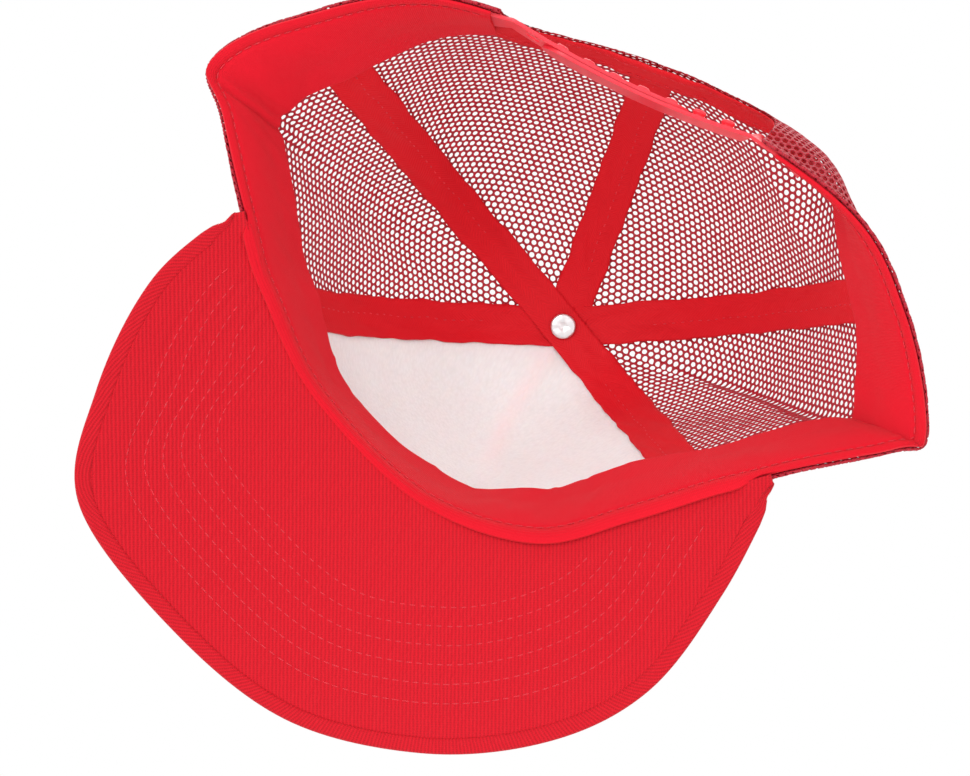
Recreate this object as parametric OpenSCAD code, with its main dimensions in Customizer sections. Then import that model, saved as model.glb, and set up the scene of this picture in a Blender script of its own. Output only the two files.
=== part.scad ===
// Trucker cap: foam-backed front panel, four mesh panels, curved visor and a snap strap.
// +Z is up as worn, the visor points to -Y, the wearer's left is +X.
// The origin is the centre of the head opening, on the plane that the cap stands on.

/* [Crown] */
// Height of the crown's top above the table
crown_h = 120; // [112:1:128]
// Thickness of the outer panels
panel_t = 0.8; // [0.6:0.1:0.8]
// Thickness of the front panel's foam away from its seams
foam_t = 2.0; // [1.2:0.1:2.0]
// Width of the tapes that cover the crown seams
tape_w = 13; // [10:0.5:14]
// Thickness of the seam tapes
tape_t = 0.5; // [0.3:0.1:0.5]

/* [Sweatband] */
// Height of the sweatband
band_h = 30; // [24:1:32]
// Thickness of the sweatband
band_t = 0.9; // [0.6:0.1:1.0]
// Diameter of the piping between sweatband and visor
piping_d = 2.2; // [1.6:0.1:2.4]

/* [Visor] */
// Thickness of the visor board
board_t = 2.0; // [1.6:0.1:2.0]
// Thickness of each visor cover
cover_t = 0.6; // [0.4:0.1:0.6]
// Distance from the visor's edge to its first row of stitches
first_row = 14; // [12:0.5:16]
// Distance between rows of visor stitches
row_gap = 5.4; // [5:0.1:6]
// Diameter of the sewing thread
thread_d = 0.5; // [0.4:0.1:0.6]

/* [Back] */
// Height of the arch in the back of the crown
arch_h = 38; // [34:1:42]
// Half of the arch's width
arch_r = 40; // [39:0.5:41]
// Width of the binding around the arch
binding_w = 12; // [8:1:12]
// Height of the plastic strap
strap_h = 16; // [14:0.5:16]
// Thickness of each half of the strap
strap_t = 1.0; // [0.8:0.1:1.0]
// Distance between pegs, and between holes
peg_pitch = 8.5; // [8.4:0.05:8.6]
// Diameter of a peg
peg_d = 3.8; // [3.4:0.1:3.9]
// Diameter of a hole
hole_d = 4.6; // [4.5:0.1:4.8]

/* [Button] */
// Diameter of the covered button on the crown's top
button_d = 14; // [12:0.5:16]
// Diameter of the rivet's disc inside the crown
rivet_d = 8; // [7:0.5:9]

/* [Hidden] */

red = [0.80, 0.06, 0.12];
mesh_red = [0.72, 0.08, 0.14];
cream = [0.95, 0.89, 0.86];
strap_red = [0.97, 0.20, 0.25];
steel = [0.75, 0.74, 0.75];

// Clear gap between layers of cloth, and behind the thicker or coarser ones
layer_gap = 0.15;
foam_gap = 0.3;
binding_gap = 0.5;
stitch_gap = 0.3;

// Hem in plan: from the front centre round by the wearer's left. The soft crown sits a little askew.
hem_plan = [[3, -67], [42, -56], [67, -39], [86, -19], [103, 1], [113, 13], [99, 34], [63, 60],
    [-3, 67], [-60, 63], [-90, 45], [-111, 19], [-105, 10], [-80, -12], [-53, -41], [-31, -61]];
// Angle between the wall and the table at each hem point: 90 is upright, less leans inwards
wall_lean = [85, 90, 75, 62, 43, 26, 43, 81, 127, 84, 68, 39, 38, 60, 66, 62];
hem_n = len(hem_plan);
top = [-6, -1, crown_h];
// How level the crown leaves its top, and how far its walls carry their lean
top_reach = 0.66;
wall_reach = 0.46;
// The hem rises towards the front, because the visor's bent edges and the back hem touch the table
hem_slope = 0.17;
hem_back = 67;

// Where the seams meet the hem, counted in hem points
seam_front_left = 2.0;
seam_side_left = 6.1;
seam_back = 7.9;
seam_side_right = 9.82;
seam_front_right = 13.5;

// Visor outline from the wearer's left to right, and the arch of its surface
visor_plan = [[88.5, -20], [97, -48], [95, -82], [84, -112], [46, -131], [6, -138], [-32, -127],
    [-61, -106], [-78, -80], [-83, -47], [-82.5, -13]];
visor_n = len(visor_plan);
visor_z = 27.6;
visor_pitch = 0.12;
visor_arch = 0.0031;
visor_mid_x = 8;
visor_front_y = -67;
visor_rows = 6;

// The arch's centre, and the power of its rounded outline
arch_x = 8;
arch_power = 2.5;

// The strap lies on a long arc, bowed towards the head
strap_centre = [24.5, 328.6];
strap_turn = -3.15;
strap_r = 267.2;
strap_z = 2.2;
pitch_a = peg_pitch / strap_r * 180 / PI;
first_peg_a = -6.85;
pegs = 7;
holes = 6;
holes_hinge_a = 7.48;
pegs_hinge_a = -8.26;
hinge_gap = 0.7;
strap_fit = 0.12;

// ---- Curves -------------------------------------------------------------------------------

function mix(a, b, w) = a + (b - a) * w;
function ease(x) = let(c = min(1, max(0, x))) c * c * (3 - 2 * c);
function unit(v) = v / norm(v);
function spline(a, b, c, d, t) =
    0.5 * (2 * b + (c - a) * t + (2 * a - 5 * b + 4 * c - d) * t * t
    + (3 * b - a - 3 * c + d) * t * t * t);
function ring(list, s) =
    let(n = len(list), q = s + n, i = floor(q), t = q - i)
    spline(list[(i + n - 1) % n], list[i % n], list[(i + 1) % n], list[(i + 2) % n], t);
function open_curve(list, s) =
    let(n = len(list), i = min(n - 2, floor(s)), t = s - i,
        a = i == 0 ? 2 * list[0] - list[1] : list[i - 1],
        d = i == n - 2 ? 2 * list[n - 1] - list[n - 2] : list[i + 2])
    spline(a, list[i], list[i + 1], d, t);

// Height of the visor's middle surface
function visor_height(p) =
    visor_z + visor_pitch * (p.y - visor_front_y) - visor_arch * pow(p.x - visor_mid_x, 2);
// 1 where the hem lies on the visor, 0 where it is free
function on_visor(s) =
    let(q = s - hem_n * floor(s / hem_n)) 1 - ease((min(q, hem_n - q) - 2.6) / 1.2);
function hem(s) =
    let(p = ring(hem_plan, s))
    [p.x, p.y, mix(hem_slope * (hem_back - p.y), visor_height(p), on_visor(s))];

// Point of the crown's surface: s runs round the hem, t from the top (0) to the hem (1)
function crown(s, t) =
    let(h = hem(s), lean = ring(wall_lean, s), across = [h.x - top.x, h.y - top.y],
        r = norm(across), rise = top.z - h.z, arm = wall_reach * rise, u = 1 - t,
        run = 3 * u * u * t * top_reach * r + 3 * u * t * t * (r - arm * cos(lean)) + t * t * t * r,
        z = (u * u * u + 3 * u * u * t) * top.z + 3 * u * t * t * (h.z + arm * sin(lean))
            + t * t * t * h.z)
    [top.x + across.x / r * run, top.y + across.y / r * run, z];
function crown_normal(s, t) =
    let(e = 0.02, q = max(t, 0.03))
    unit(cross(crown(s, q + e / 2) - crown(s, q - e / 2), crown(s + e, q) - crown(s - e, q)));
function skin(s, t, off) = crown(s, t) + off * crown_normal(s, t);

// t of the point that lies a length d up the wall from the hem
wall_steps = 16;
wall_span = 0.5;
function wall_t(s, d) =
    d <= 0 ? 1 : let(
        p = [for (k = [0:wall_steps]) crown(s, 1 - wall_span * k / wall_steps)],
        length = [for (k = 0, sum = 0; k <= wall_steps;
            k = k + 1, sum = sum + (k <= wall_steps ? norm(p[k] - p[k - 1]) : 0)) sum])
    lookup(d, [for (k = [0:wall_steps]) [length[k], 1 - wall_span * k / wall_steps]]);

// Hem position for a bearing about the crown's top, and for an x along the back hem
function bearing(s) =
    let(p = ring(hem_plan, s), a = atan2(p.y - top.y, p.x - top.x), near = -85 + 360 / hem_n * s)
    a + 360 * round((near - a) / 360);
bearings = [for (k = [-16:80]) [bearing(k / 4), k / 4]];
function s_at(a) = lookup(a, bearings);
back_xs = [for (k = [40:-1:24]) [ring(hem_plan, k / 4).x, k / 4]];
function s_at_x(x) = lookup(x, back_xs);
// t for a distance r from the crown's top, close to the top
function t_at(s, r) =
    lookup(r, [for (k = [0:12]) let(p = crown(s, k / 20)) [norm([p.x - top.x, p.y - top.y]), k / 20]]);

// ---- Cloth layers -------------------------------------------------------------------------

foam_edge = 0.4;
foam_fade = 9;
hem_step = 36;
function front_span(s) = s > hem_n / 2 ? s - hem_n : s;
// Rough distance of a point on the front from the nearer front seam
function from_seam(s, t) =
    let(q = front_span(s), side = min(seam_front_left - q, q - (seam_front_right - hem_n)))
    side * hem_step * t;
function foam_depth(s, t) = mix(foam_edge, foam_t, ease(from_seam(s, t) / foam_fade));
// Depth of the inner face of whatever the seam tapes lie on
function lining(s, t) = foam_gap + (from_seam(s, t) > 0 ? foam_depth(s, t) : foam_edge);
function tape_depth(s, t) = lining(s, t) + layer_gap;
side_band = 1.85;
front_band = foam_gap + foam_t + layer_gap + tape_t;
function band_depth(s) =
    let(q = front_span(s),
        past = max(q - seam_front_left, seam_front_right - hem_n - q))
    mix(front_band, side_band, ease(past / 0.5));

// ---- Solids -------------------------------------------------------------------------------

// A thin solid between two grids of points, a on its outer side and b on its inner side
module slab(a, b) {
    n = len(a);
    m = len(a[0]);
    nm = n * m;
    points = concat([for (row = a) each row], [for (row = b) each row]);
    faces = [
        for (i = [0:n - 2], j = [0:m - 2])
            let(p = i * m + j, q = p + m)
            each [[p, q, q + 1], [p, q + 1, p + 1],
                [nm + p, nm + q + 1, nm + q], [nm + p, nm + p + 1, nm + q + 1]],
        for (i = [0:n - 2])
            let(p = i * m, q = p + m, e = m - 1)
            each [[q, p, nm + p], [q, nm + p, nm + q],
                [p + e, q + e, nm + q + e], [p + e, nm + q + e, nm + p + e]],
        for (j = [0:m - 2])
            let(p = j, q = (n - 1) * m + j)
            each [[p, p + 1, nm + p + 1], [p, nm + p + 1, nm + p],
                [q + 1, q, nm + q], [q + 1, nm + q, nm + q + 1]]
    ];
    polyhedron(points, faces);
}

// A four-sided thread along a path, given the outward direction at each point
module thread(path, outs, d) {
    n = len(path);
    rings = [for (i = [0:n - 1])
        let(along = unit(path[min(n - 1, i + 1)] - path[max(0, i - 1)]),
            side = unit(cross(along, outs[i])), out = cross(side, along), r = d / 2)
        each [path[i] + r * side, path[i] + r * out, path[i] - r * side, path[i] - r * out]];
    faces = [
        for (i = [0:n - 2], k = [0:3])
            let(p = 4 * i + k, q = 4 * i + (k + 1) % 4)
            each [[p, q, q + 4], [p, q + 4, p + 4]],
        [3, 2, 1, 0],
        [for (k = [0:3]) 4 * (n - 1) + k]
    ];
    polyhedron(rings, faces);
}

// A panel of the crown between two hem positions, cut by the arch where the arch crosses it
top_hole = 0.04;
seam_gap = 0.005;
arch_from = 7;
arch_to = 9.2;
panel_rows = 11;
front_rows = 15;
front_columns = 22;
function arch_edge(x) =
    let(w = abs(x - arch_x) / arch_r) w >= 1 ? 0 : arch_h * pow(1 - pow(w, arch_power), 1 / arch_power);
module panel(columns, rows, outer, inner) {
    function grid(off) = [for (s = columns)
        let(end = s > arch_from && s < arch_to ? wall_t(s, arch_edge(ring(hem_plan, s).x)) : 1)
        [for (j = [0:rows]) skin(s, mix(top_hole, end, j / rows), off)]];
    slab(grid(outer), grid(inner));
}
function steps(a, b, n) = [for (i = [0:n]) mix(a, b, i / n)];

module mesh_panel(a, b, n) {
    color(mesh_red) panel(steps(a + seam_gap, b - seam_gap, n), panel_rows, panel_t, 0);
}

// Hem positions across one side of the arch, close together where the arch is steep
function arch_columns(side) = [for (q = [2, 8, 16, 24, 32, 40, 48, 56, 64, 71, 78, 84])
    s_at_x(arch_x + side * arch_r * pow(cos(q), 2 / arch_power))];

module front_panel() {
    color(red) panel(steps(seam_front_right - hem_n + seam_gap, seam_front_left - seam_gap,
        front_columns), front_rows, panel_t, 0);
}

module front_foam() {
    columns = steps(seam_front_right - hem_n + 0.03, seam_front_left - 0.03, front_columns);
    function grid(face) = [for (s = columns)
        let(end = wall_t(s, 1.5))
        [for (j = [0:front_rows])
            let(t = mix(top_hole + 0.02, end, j / front_rows))
            skin(s, t, -foam_gap - (face ? 0 : foam_depth(s, t)))]];
    color(cream) slab(grid(true), grid(false));
}

module mesh_side_left() {
    mesh_panel(seam_front_left, seam_side_left, 15);
}

module mesh_side_right() {
    mesh_panel(seam_side_right, seam_front_right, 15);
}

module mesh_back_left() {
    columns = concat(steps(seam_side_left + seam_gap, 7, 6), [7.15], arch_columns(1),
        [seam_back - seam_gap]);
    color(mesh_red) panel(columns, panel_rows, panel_t, 0);
}

module mesh_back_right() {
    edge = arch_columns(-1);
    columns = concat([seam_back + seam_gap], [for (k = [len(edge) - 1:-1:0]) edge[k]], [8.62],
        steps(8.8, seam_side_right - seam_gap, 6));
    color(mesh_red) panel(columns, panel_rows, panel_t, 0);
}

// Point of a seam tape: p along the seam from the crown's top, w across it, both in plan
near_top = 30;
far_top = 45;
function tape_point(s0, t, w, off, deep) =
    let(c = crown(s0, t), across = [c.x - top.x, c.y - top.y],
        r = norm(across), a = bearing(s0), q = a + atan2(w, r),
        s = s_at(q), rr = norm([r, w]),
        near = t_at(s, rr), tt = mix(near, t, ease((r - near_top) / (far_top - near_top))),
        under = tape_depth(s, tt) + deep * (1 - ease((r - 8) / 10)))
    skin(s, max(tt, 0.005), -under - off);
module seam_tape(s0, t_list, deep) {
    cells = [-1, -0.5, 0, 0.5, 1];
    function grid(off) = [for (w = cells)
        [for (t = t_list) tape_point(s0, t, w * tape_w / 2, off, deep)]];
    color(red) slab(grid(0), grid(tape_t));
}
tape_start = 0.07;
tape_rows = 12;
module seam_tape_front_left() {
    seam_tape(seam_front_left, steps(tape_start, wall_t(seam_front_left, 3), tape_rows), 0);
}
module seam_tape_side_right() {
    seam_tape(seam_side_right, steps(tape_start, wall_t(seam_side_right, 3), tape_rows), 0);
}
module seam_tape_back_centre() {
    end = wall_t(seam_back, arch_h + 1);
    seam_tape(seam_back, steps(tape_start, end, tape_rows), 0);
}

// One strip runs over the top from the left side seam to the right front seam
tape_under = tape_t + 3 * layer_gap;
module seam_tape_diagonal() {
    lead = steps(wall_t(seam_side_left, 3), tape_start, tape_rows);
    tail = steps(tape_start, wall_t(seam_front_right, 3), tape_rows);
    cells = [-1, -0.5, 0, 0.5, 1];
    function grid(off) = [for (w = cells) concat(
        [for (t = lead) tape_point(seam_side_left, t, w * tape_w / 2, off, tape_under)],
        [for (t = tail) tape_point(seam_front_right, t, -w * tape_w / 2, off, tape_under)])];
    color(red) difference() {
        slab(grid(tape_t), grid(0));
        translate([top.x, top.y, top.z - 6]) cylinder(h = 6, r = 1.5, $fn = 32);
    }
}

// Twin rows of topstitching beside every crown seam
stitch_side = 3;
module seam_stitches(s0, end) {
    for (w = [-stitch_side, stitch_side]) {
        spots = [for (t = steps(0.12, end, 14))
            let(c = crown(s0, t), r = norm([c.x - top.x, c.y - top.y]))
            [s_at(bearing(s0) + atan2(w, r)), t]];
        thread([for (p = spots) skin(p[0], p[1], panel_t + thread_d / 2 + 0.1)],
            [for (p = spots) crown_normal(p[0], p[1])], thread_d);
    }
}
module crown_stitching() {
    color(red) {
        for (s0 = [seam_front_left, seam_side_left, seam_side_right, seam_front_right])
            seam_stitches(s0, 0.985);
        seam_stitches(seam_back, wall_t(seam_back, arch_h + 3));
    }
}

button_h = 5;
module top_button() {
    r = button_d / 2;
    color(red) translate([top.x, top.y, top.z + panel_t + layer_gap])
        rotate_extrude($fn = 64) union() {
            intersection() {
                translate([0, button_h - r * 1.4]) circle(r = r * 1.4, $fn = 96);
                square([r, button_h]);
            }
            square([r, 0.8]);
        }
}

// The rivet's disc sits inside the crown, its stem passes through the tape into the button
rivet_t = 1.0;
stem_r = 1.2;
module button_rivet() {
    ends = [for (s = [seam_side_left, seam_front_right]) tape_point(s, tape_start, 0, tape_t, tape_under).z];
    deck = min(ends) - layer_gap;
    color(steel) translate([top.x, top.y, 0]) rotate_extrude($fn = 64) union() {
        translate([0, deck - rivet_t]) square([rivet_d / 2, rivet_t]);
        translate([0, deck - 0.1]) square([stem_r, top.z + panel_t - deck]);
    }
}

band_start = 8.56;
band_end = 23.22;
band_columns = 72;
band_rows = 4;
function band_foot(s) = mix(2.5, 1.0, on_visor(s));
module sweatband() {
    function grid(face) = [for (s = steps(band_start, band_end, band_columns))
        let(off = -band_depth(s) - face * band_t, foot = band_foot(s))
        [for (j = [0:band_rows]) skin(s, wall_t(s, foot + band_h * (band_rows - j) / band_rows), off)]];
    color(red) slab(grid(0), grid(1));
}
module sweatband_stitching() {
    spots = [for (s = steps(band_start + 0.05, band_end - 0.05, band_columns))
        [s, wall_t(s, band_foot(s) + 4)]];
    color(red) thread(
        [for (p = spots) skin(p[0], p[1], -band_depth(p[0]) - band_t - thread_d / 2 - stitch_gap)],
        [for (p = spots) crown_normal(p[0], p[1])], thread_d);
}
module sweatband_piping() {
    drop = 1.7;
    inset = 1.5;
    spots = steps(-2.85, 2.85, 44);
    color(red) thread(
        [for (s = spots) let(n = crown_normal(s, 1)) hem(s) - inset * unit([n.x, n.y, 0]) - [0, 0, drop]],
        [for (s = spots) crown_normal(s, 1)], piping_d);
}

// Binding inside the arch's edge. It steps over the back seam's tape.
function binding_depth(s) =
    mix(foam_gap + foam_edge + layer_gap + tape_t + layer_gap, binding_gap,
        ease((abs(ring(hem_plan, s).x - ring(hem_plan, seam_back).x) - tape_w / 2 - 2) / 5));
binding_t = 0.35;
module arch_binding() {
    cells = 3;
    function spot(q, w) =
        let(x = arch_x + sign(cos(q)) * (arch_r + w) * pow(abs(cos(q)), 2 / arch_power),
            d = (arch_h + w) * pow(sin(q), 2 / arch_power))
        [s_at_x(x), d];
    function grid(face) = [for (q = steps(3, 177, 40))
        [for (j = [0:cells])
            let(p = spot(q, binding_w * (cells - j) / cells))
            skin(p[0], wall_t(p[0], p[1]), -binding_depth(p[0]) - face * binding_t)]];
    color(red) slab(grid(0), grid(1));
}

// ---- Visor --------------------------------------------------------------------------------

function visor_out(s) =
    let(e = 0.02, d = ring(hem_plan, s + e) - ring(hem_plan, s - e)) unit([d.y, -d.x]);
// Point of the visor: s along the hem, v from the hem (0) to the edge (1)
visor_rear = 1.2;
visor_rounding = 0.14;
function visor_root(s) = ring(hem_plan, s) + visor_rear * visor_out(s);
// The visor's rear corners are rounded off towards the hem
function visor_corner(s) = sqrt(min(1, max(0.04, (3 - abs(s)) / visor_rounding)));
function visor_edge(s) =
    mix(visor_root(s), open_curve(visor_plan, (3 - s) / 6 * (visor_n - 1)), visor_corner(s));
function visor_xy(s, v) = mix(visor_root(s), visor_edge(s), v);
function visor_point(s, v, lift) =
    let(p = visor_xy(s, v)) [p.x, p.y, visor_height(p) + lift];
module visor_layer(low, high, inset) {
    function grid(lift) = [for (s = steps(-2.96, 2.96, 30))
        let(width = norm(visor_edge(s) - visor_root(s)), margin = min(0.3, inset / width))
        [for (j = [0:6]) visor_point(s, mix(margin, 1 - margin, j / 6), lift)]];
    slab(grid(high), grid(low));
}
cover_lift = board_t / 2 + 0.1;
module visor_board() {
    color("white") visor_layer(-board_t / 2, board_t / 2, 1.2);
}
module visor_top_cover() {
    color(red) visor_layer(cover_lift, cover_lift + cover_t, 0);
}
module visor_under_cover() {
    color(red) visor_layer(-cover_lift - cover_t, -cover_lift, 0);
}

// Rows of stitches that follow the visor's edge, on both faces
function edge_reach(s) =
    let(e = 0.03, d = visor_edge(s + e) - visor_edge(s - e), out = unit([d.y, -d.x]))
    (visor_edge(s) - visor_root(s)) * out;
module visor_row(inset, lift) {
    spots = [for (s = steps(-2.9, 2.9, 34))
        let(v = 1 - inset / edge_reach(s)) if (edge_reach(s) > inset + 4) [s, v]];
    thread([for (p = spots) visor_point(p[0], p[1], lift)], [for (p = spots) [0, 0, 1]], thread_d);
}
module visor_stitching() {
    color(red) for (k = [0:visor_rows - 1], side = [-1, 1])
        visor_row(first_row + k * row_gap, side * (cover_lift + cover_t + thread_d / 2 + 0.1));
}

// ---- Strap --------------------------------------------------------------------------------

// The sewn ends, between the sweatband and the back panels
anchor_t = 0.7;
anchor_depth = 0.95;
module strap_anchor(x_near, x_far) {
    function grid(face) = [for (x = steps(x_near, x_far, 6))
        let(s = s_at_x(x))
        [for (j = [0:2]) skin(s, wall_t(s, strap_z + strap_h * (2 - j) / 2),
            -anchor_depth - face * anchor_t)]];
    color(strap_red) slab(grid(0), grid(1));
}
function strap_point(r, a) = strap_centre + r * [sin(a + strap_turn), -cos(a + strap_turn)];
function hinge_x(r, a, side) = strap_point(r, a).x + side * hinge_gap;
holes_r = strap_r - strap_t - strap_fit;
module strap_anchor_left() {
    strap_anchor(62, hinge_x(holes_r, holes_hinge_a, 1));
}
module strap_anchor_right() {
    strap_anchor(hinge_x(strap_r, pegs_hinge_a, -1), -46);
}

// Something placed on the strap's arc at angle a, its own +Z pointing out of the cap
module on_strap(r, a) {
    translate([strap_centre.x, strap_centre.y, strap_z + strap_h / 2]) rotate([0, 0, a + strap_turn])
        translate([0, -r, 0]) rotate([-90, 0, 0]) children();
}
// A curved band from its hinge to a rounded tip
module strap_band(r, hinge_a, tip_a) {
    n = 24;
    round_r = strap_h / 2;
    side = sign(tip_a - hinge_a);
    start = hinge_a + side * hinge_gap / r * 180 / PI;
    centre_a = tip_a - side * round_r / r * 180 / PI;
    arc = function (rr, a, b) [for (i = [0:n]) strap_point(rr, mix(a, b, i / n))];
    intersection() {
        translate([0, 0, strap_z]) linear_extrude(strap_h)
            polygon(concat(arc(r + strap_t / 2, start, tip_a), arc(r - strap_t / 2, tip_a, start)));
        union() {
            on_strap(r, centre_a) translate([0, 0, -6]) cylinder(h = 12, r = round_r, $fn = 64);
            on_strap(r, centre_a) translate([side > 0 ? -70 : 0, -strap_h / 2 - 1, -12])
                cube([70, strap_h + 2, 24]);
        }
    }
}
tip_reach = 5.1 / strap_r * 180 / PI;
module strap_holes() {
    color(strap_red) difference() {
        strap_band(holes_r, holes_hinge_a, first_peg_a + 2 * pitch_a - 1.1 * tip_reach);
        for (k = [2:holes + 1])
            on_strap(holes_r, first_peg_a + k * pitch_a)
                translate([0, 0, -3]) cylinder(h = 6, r = hole_d / 2, $fn = 48);
    }
}
peg_h = strap_t + strap_fit + 1.0;
peg_cap = 0.5;
module strap_pegs() {
    color(strap_red) union() {
        strap_band(strap_r, pegs_hinge_a, first_peg_a + (pegs - 1) * pitch_a + tip_reach);
        for (k = [0:pegs - 1])
            on_strap(strap_r, first_peg_a + k * pitch_a) {
                cylinder(h = strap_t / 2 + peg_h, r = peg_d / 2, $fn = 48);
                translate([0, 0, strap_t / 2 + peg_h])
                    cylinder(h = peg_cap, r1 = peg_d / 2, r2 = peg_d / 2 - peg_cap, $fn = 48);
            }
    }
}

front_panel();
front_foam();
mesh_side_left();
mesh_side_right();
mesh_back_left();
mesh_back_right();
seam_tape_diagonal();
seam_tape_front_left();
seam_tape_back_centre();
seam_tape_side_right();
crown_stitching();
top_button();
button_rivet();
sweatband();
sweatband_stitching();
sweatband_piping();
arch_binding();
visor_board();
visor_top_cover();
visor_under_cover();
visor_stitching();
strap_anchor_left();
strap_anchor_right();
strap_holes();
strap_pegs();
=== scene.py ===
import math
import random

import bmesh
import bpy
import numpy as np
from mathutils import Matrix, Vector


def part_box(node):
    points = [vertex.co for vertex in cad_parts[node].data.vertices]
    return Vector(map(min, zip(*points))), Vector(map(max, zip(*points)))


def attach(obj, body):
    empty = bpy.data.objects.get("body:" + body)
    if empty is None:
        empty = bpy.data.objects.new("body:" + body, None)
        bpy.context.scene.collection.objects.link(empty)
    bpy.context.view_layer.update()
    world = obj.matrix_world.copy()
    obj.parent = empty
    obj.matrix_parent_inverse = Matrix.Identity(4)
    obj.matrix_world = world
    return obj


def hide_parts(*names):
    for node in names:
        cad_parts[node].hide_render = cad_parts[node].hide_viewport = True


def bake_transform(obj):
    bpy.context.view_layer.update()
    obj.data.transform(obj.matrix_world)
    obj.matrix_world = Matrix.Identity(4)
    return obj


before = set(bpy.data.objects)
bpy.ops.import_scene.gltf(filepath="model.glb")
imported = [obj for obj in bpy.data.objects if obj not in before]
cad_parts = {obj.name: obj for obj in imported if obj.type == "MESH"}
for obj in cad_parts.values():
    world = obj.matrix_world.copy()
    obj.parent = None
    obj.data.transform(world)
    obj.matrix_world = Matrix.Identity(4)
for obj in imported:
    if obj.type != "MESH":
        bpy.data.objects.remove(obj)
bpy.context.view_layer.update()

bl_info = {
    "name": "Trucker Cap",
    "version": (1, 0, 0),
    "blender": (4, 5, 0),
    "location": "3D View > Sidebar > Trucker Cap",
    "description": "Builds the cloth, mesh, foam, thread and strap of a trucker cap",
    "category": "Object",
}

MM = 0.001

# ---- The crown's shape, in millimetres: the same points and formulas as the part's source ---

HEM_PLAN = np.array([
    [3, -67], [42, -56], [67, -39], [86, -19], [103, 1], [113, 13], [99, 34], [63, 60],
    [-3, 67], [-60, 63], [-90, 45], [-111, 19], [-105, 10], [-80, -12], [-53, -41], [-31, -61]], float)
WALL_LEAN = np.array([85, 90, 75, 62, 43, 26, 43, 81, 127, 84, 68, 39, 38, 60, 66, 62], float)
HEM_POINTS = len(HEM_PLAN)
TOP = np.array([-6.0, -1.0, 120.0])
TOP_REACH = 0.66
WALL_REACH = 0.46
HEM_SLOPE = 0.17
HEM_BACK = 67.0
FRONT_LEFT, SIDE_LEFT, BACK, SIDE_RIGHT, FRONT_RIGHT = 2.0, 6.1, 7.9, 9.82, 13.5
VISOR_PLAN = np.array([
    [88.5, -20], [97, -48], [95, -82], [84, -112], [46, -131], [6, -138], [-32, -127],
    [-61, -106], [-78, -80], [-83, -47], [-82.5, -13]], float)
ARCH_X, ARCH_R, ARCH_H, ARCH_POWER = 8.0, 40.0, 38.0, 2.5
STRAP_CENTRE = np.array([24.5, 328.6])
STRAP_TURN = -3.15
STRAP_R = 267.2
STRAP_Z, STRAP_H, STRAP_T, STRAP_FIT = 2.2, 16.0, 1.0, 0.12
PEG_STEP = 8.5 / STRAP_R * 180 / math.pi
FIRST_PEG = -6.85
PEGS = 7
HOLES_HINGE, PEGS_HINGE = 7.48, -8.26

PANEL_T, FOAM_T, FOAM_EDGE, FOAM_FADE = 0.8, 2.0, 0.4, 9.0
FOAM_GAP, LAYER_GAP = 0.3, 0.15
TAPE_W, TAPE_T = 13.0, 0.5
BAND_H, BAND_T, BAND_ROW = 27.0, 0.9, 2.4
BAND_START, BAND_END = 8.56, 23.22
SIDE_BAND = 1.85
FRONT_BAND = FOAM_GAP + FOAM_T + LAYER_GAP + TAPE_T
VISOR_HALF = 1.7
FIRST_ROW, ROW_GAP, VISOR_ROWS = 14.0, 5.4, 6


def mix(a, b, w):
    return a + (b - a) * w


def ease(x):
    c = np.clip(x, 0, 1)
    return c * c * (3 - 2 * c)


def unit(v):
    return v / np.linalg.norm(v, axis=-1, keepdims=True)


def spline(a, b, c, d, t):
    return 0.5 * (2 * b + (c - a) * t + (2 * a - 5 * b + 4 * c - d) * t ** 2
                  + (3 * b - a - 3 * c + d) * t ** 3)


def ring(table, s):
    """A closed smooth curve through the table's rows."""
    n = len(table)
    q = np.asarray(s, float) + n
    i = np.floor(q).astype(int)
    t = q - i
    t = t[..., None] if table.ndim > 1 else t
    return spline(table[(i + n - 1) % n], table[i % n], table[(i + 1) % n], table[(i + 2) % n], t)


def open_curve(table, s):
    """A smooth curve through the table's rows, straight on past its ends."""
    ends = np.vstack([2 * table[0] - table[1], table, 2 * table[-1] - table[-2]])
    i = np.clip(np.floor(s).astype(int), 0, len(table) - 2)
    t = (s - i)[..., None]
    return spline(ends[i], ends[i + 1], ends[i + 2], ends[i + 3], t)


def visor_height(p):
    return 27.6 + 0.12 * (p[..., 1] + 67) - 0.0031 * (p[..., 0] - 8) ** 2


def from_front(s):
    """Hem position counted from the front centre, to the wearer's left."""
    q = np.mod(s, HEM_POINTS)
    return np.where(q > HEM_POINTS / 2, q - HEM_POINTS, q)


def on_visor(s):
    return 1 - ease((np.abs(from_front(s)) - 2.6) / 1.2)


def hem(s):
    p = ring(HEM_PLAN, s)
    z = mix(HEM_SLOPE * (HEM_BACK - p[..., 1]), visor_height(p), on_visor(s))
    return np.concatenate([p, z[..., None]], -1)


def crown(s, t):
    """A point of the crown: s runs round the hem, t from the top (0) to the hem (1)."""
    s, t = np.broadcast_arrays(np.asarray(s, float), np.asarray(t, float))
    h, lean = hem(s), np.radians(ring(WALL_LEAN, s))
    across = h[..., :2] - TOP[:2]
    r = np.linalg.norm(across, axis=-1)
    arm, u = WALL_REACH * (TOP[2] - h[..., 2]), 1 - t
    run = 3 * u * u * t * TOP_REACH * r + 3 * u * t * t * (r - arm * np.cos(lean)) + t ** 3 * r
    z = (u ** 3 + 3 * u * u * t) * TOP[2] + 3 * u * t * t * (h[...,
                                                               2] + arm * np.sin(lean)) + t ** 3 * h[..., 2]
    return np.concatenate([TOP[:2] + across / r[..., None] * run[..., None], z[..., None]], -1)


def outward(s, t):
    e, q = 0.02, np.maximum(t, 0.03)
    return unit(np.cross(crown(s, q + e / 2) - crown(s, q - e / 2), crown(s + e, q) - crown(s - e, q)))


SEAMS = np.array([FRONT_RIGHT - HEM_POINTS, FRONT_LEFT, SIDE_LEFT, BACK, SIDE_RIGHT, FRONT_RIGHT,
                  FRONT_LEFT + HEM_POINTS])


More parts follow.
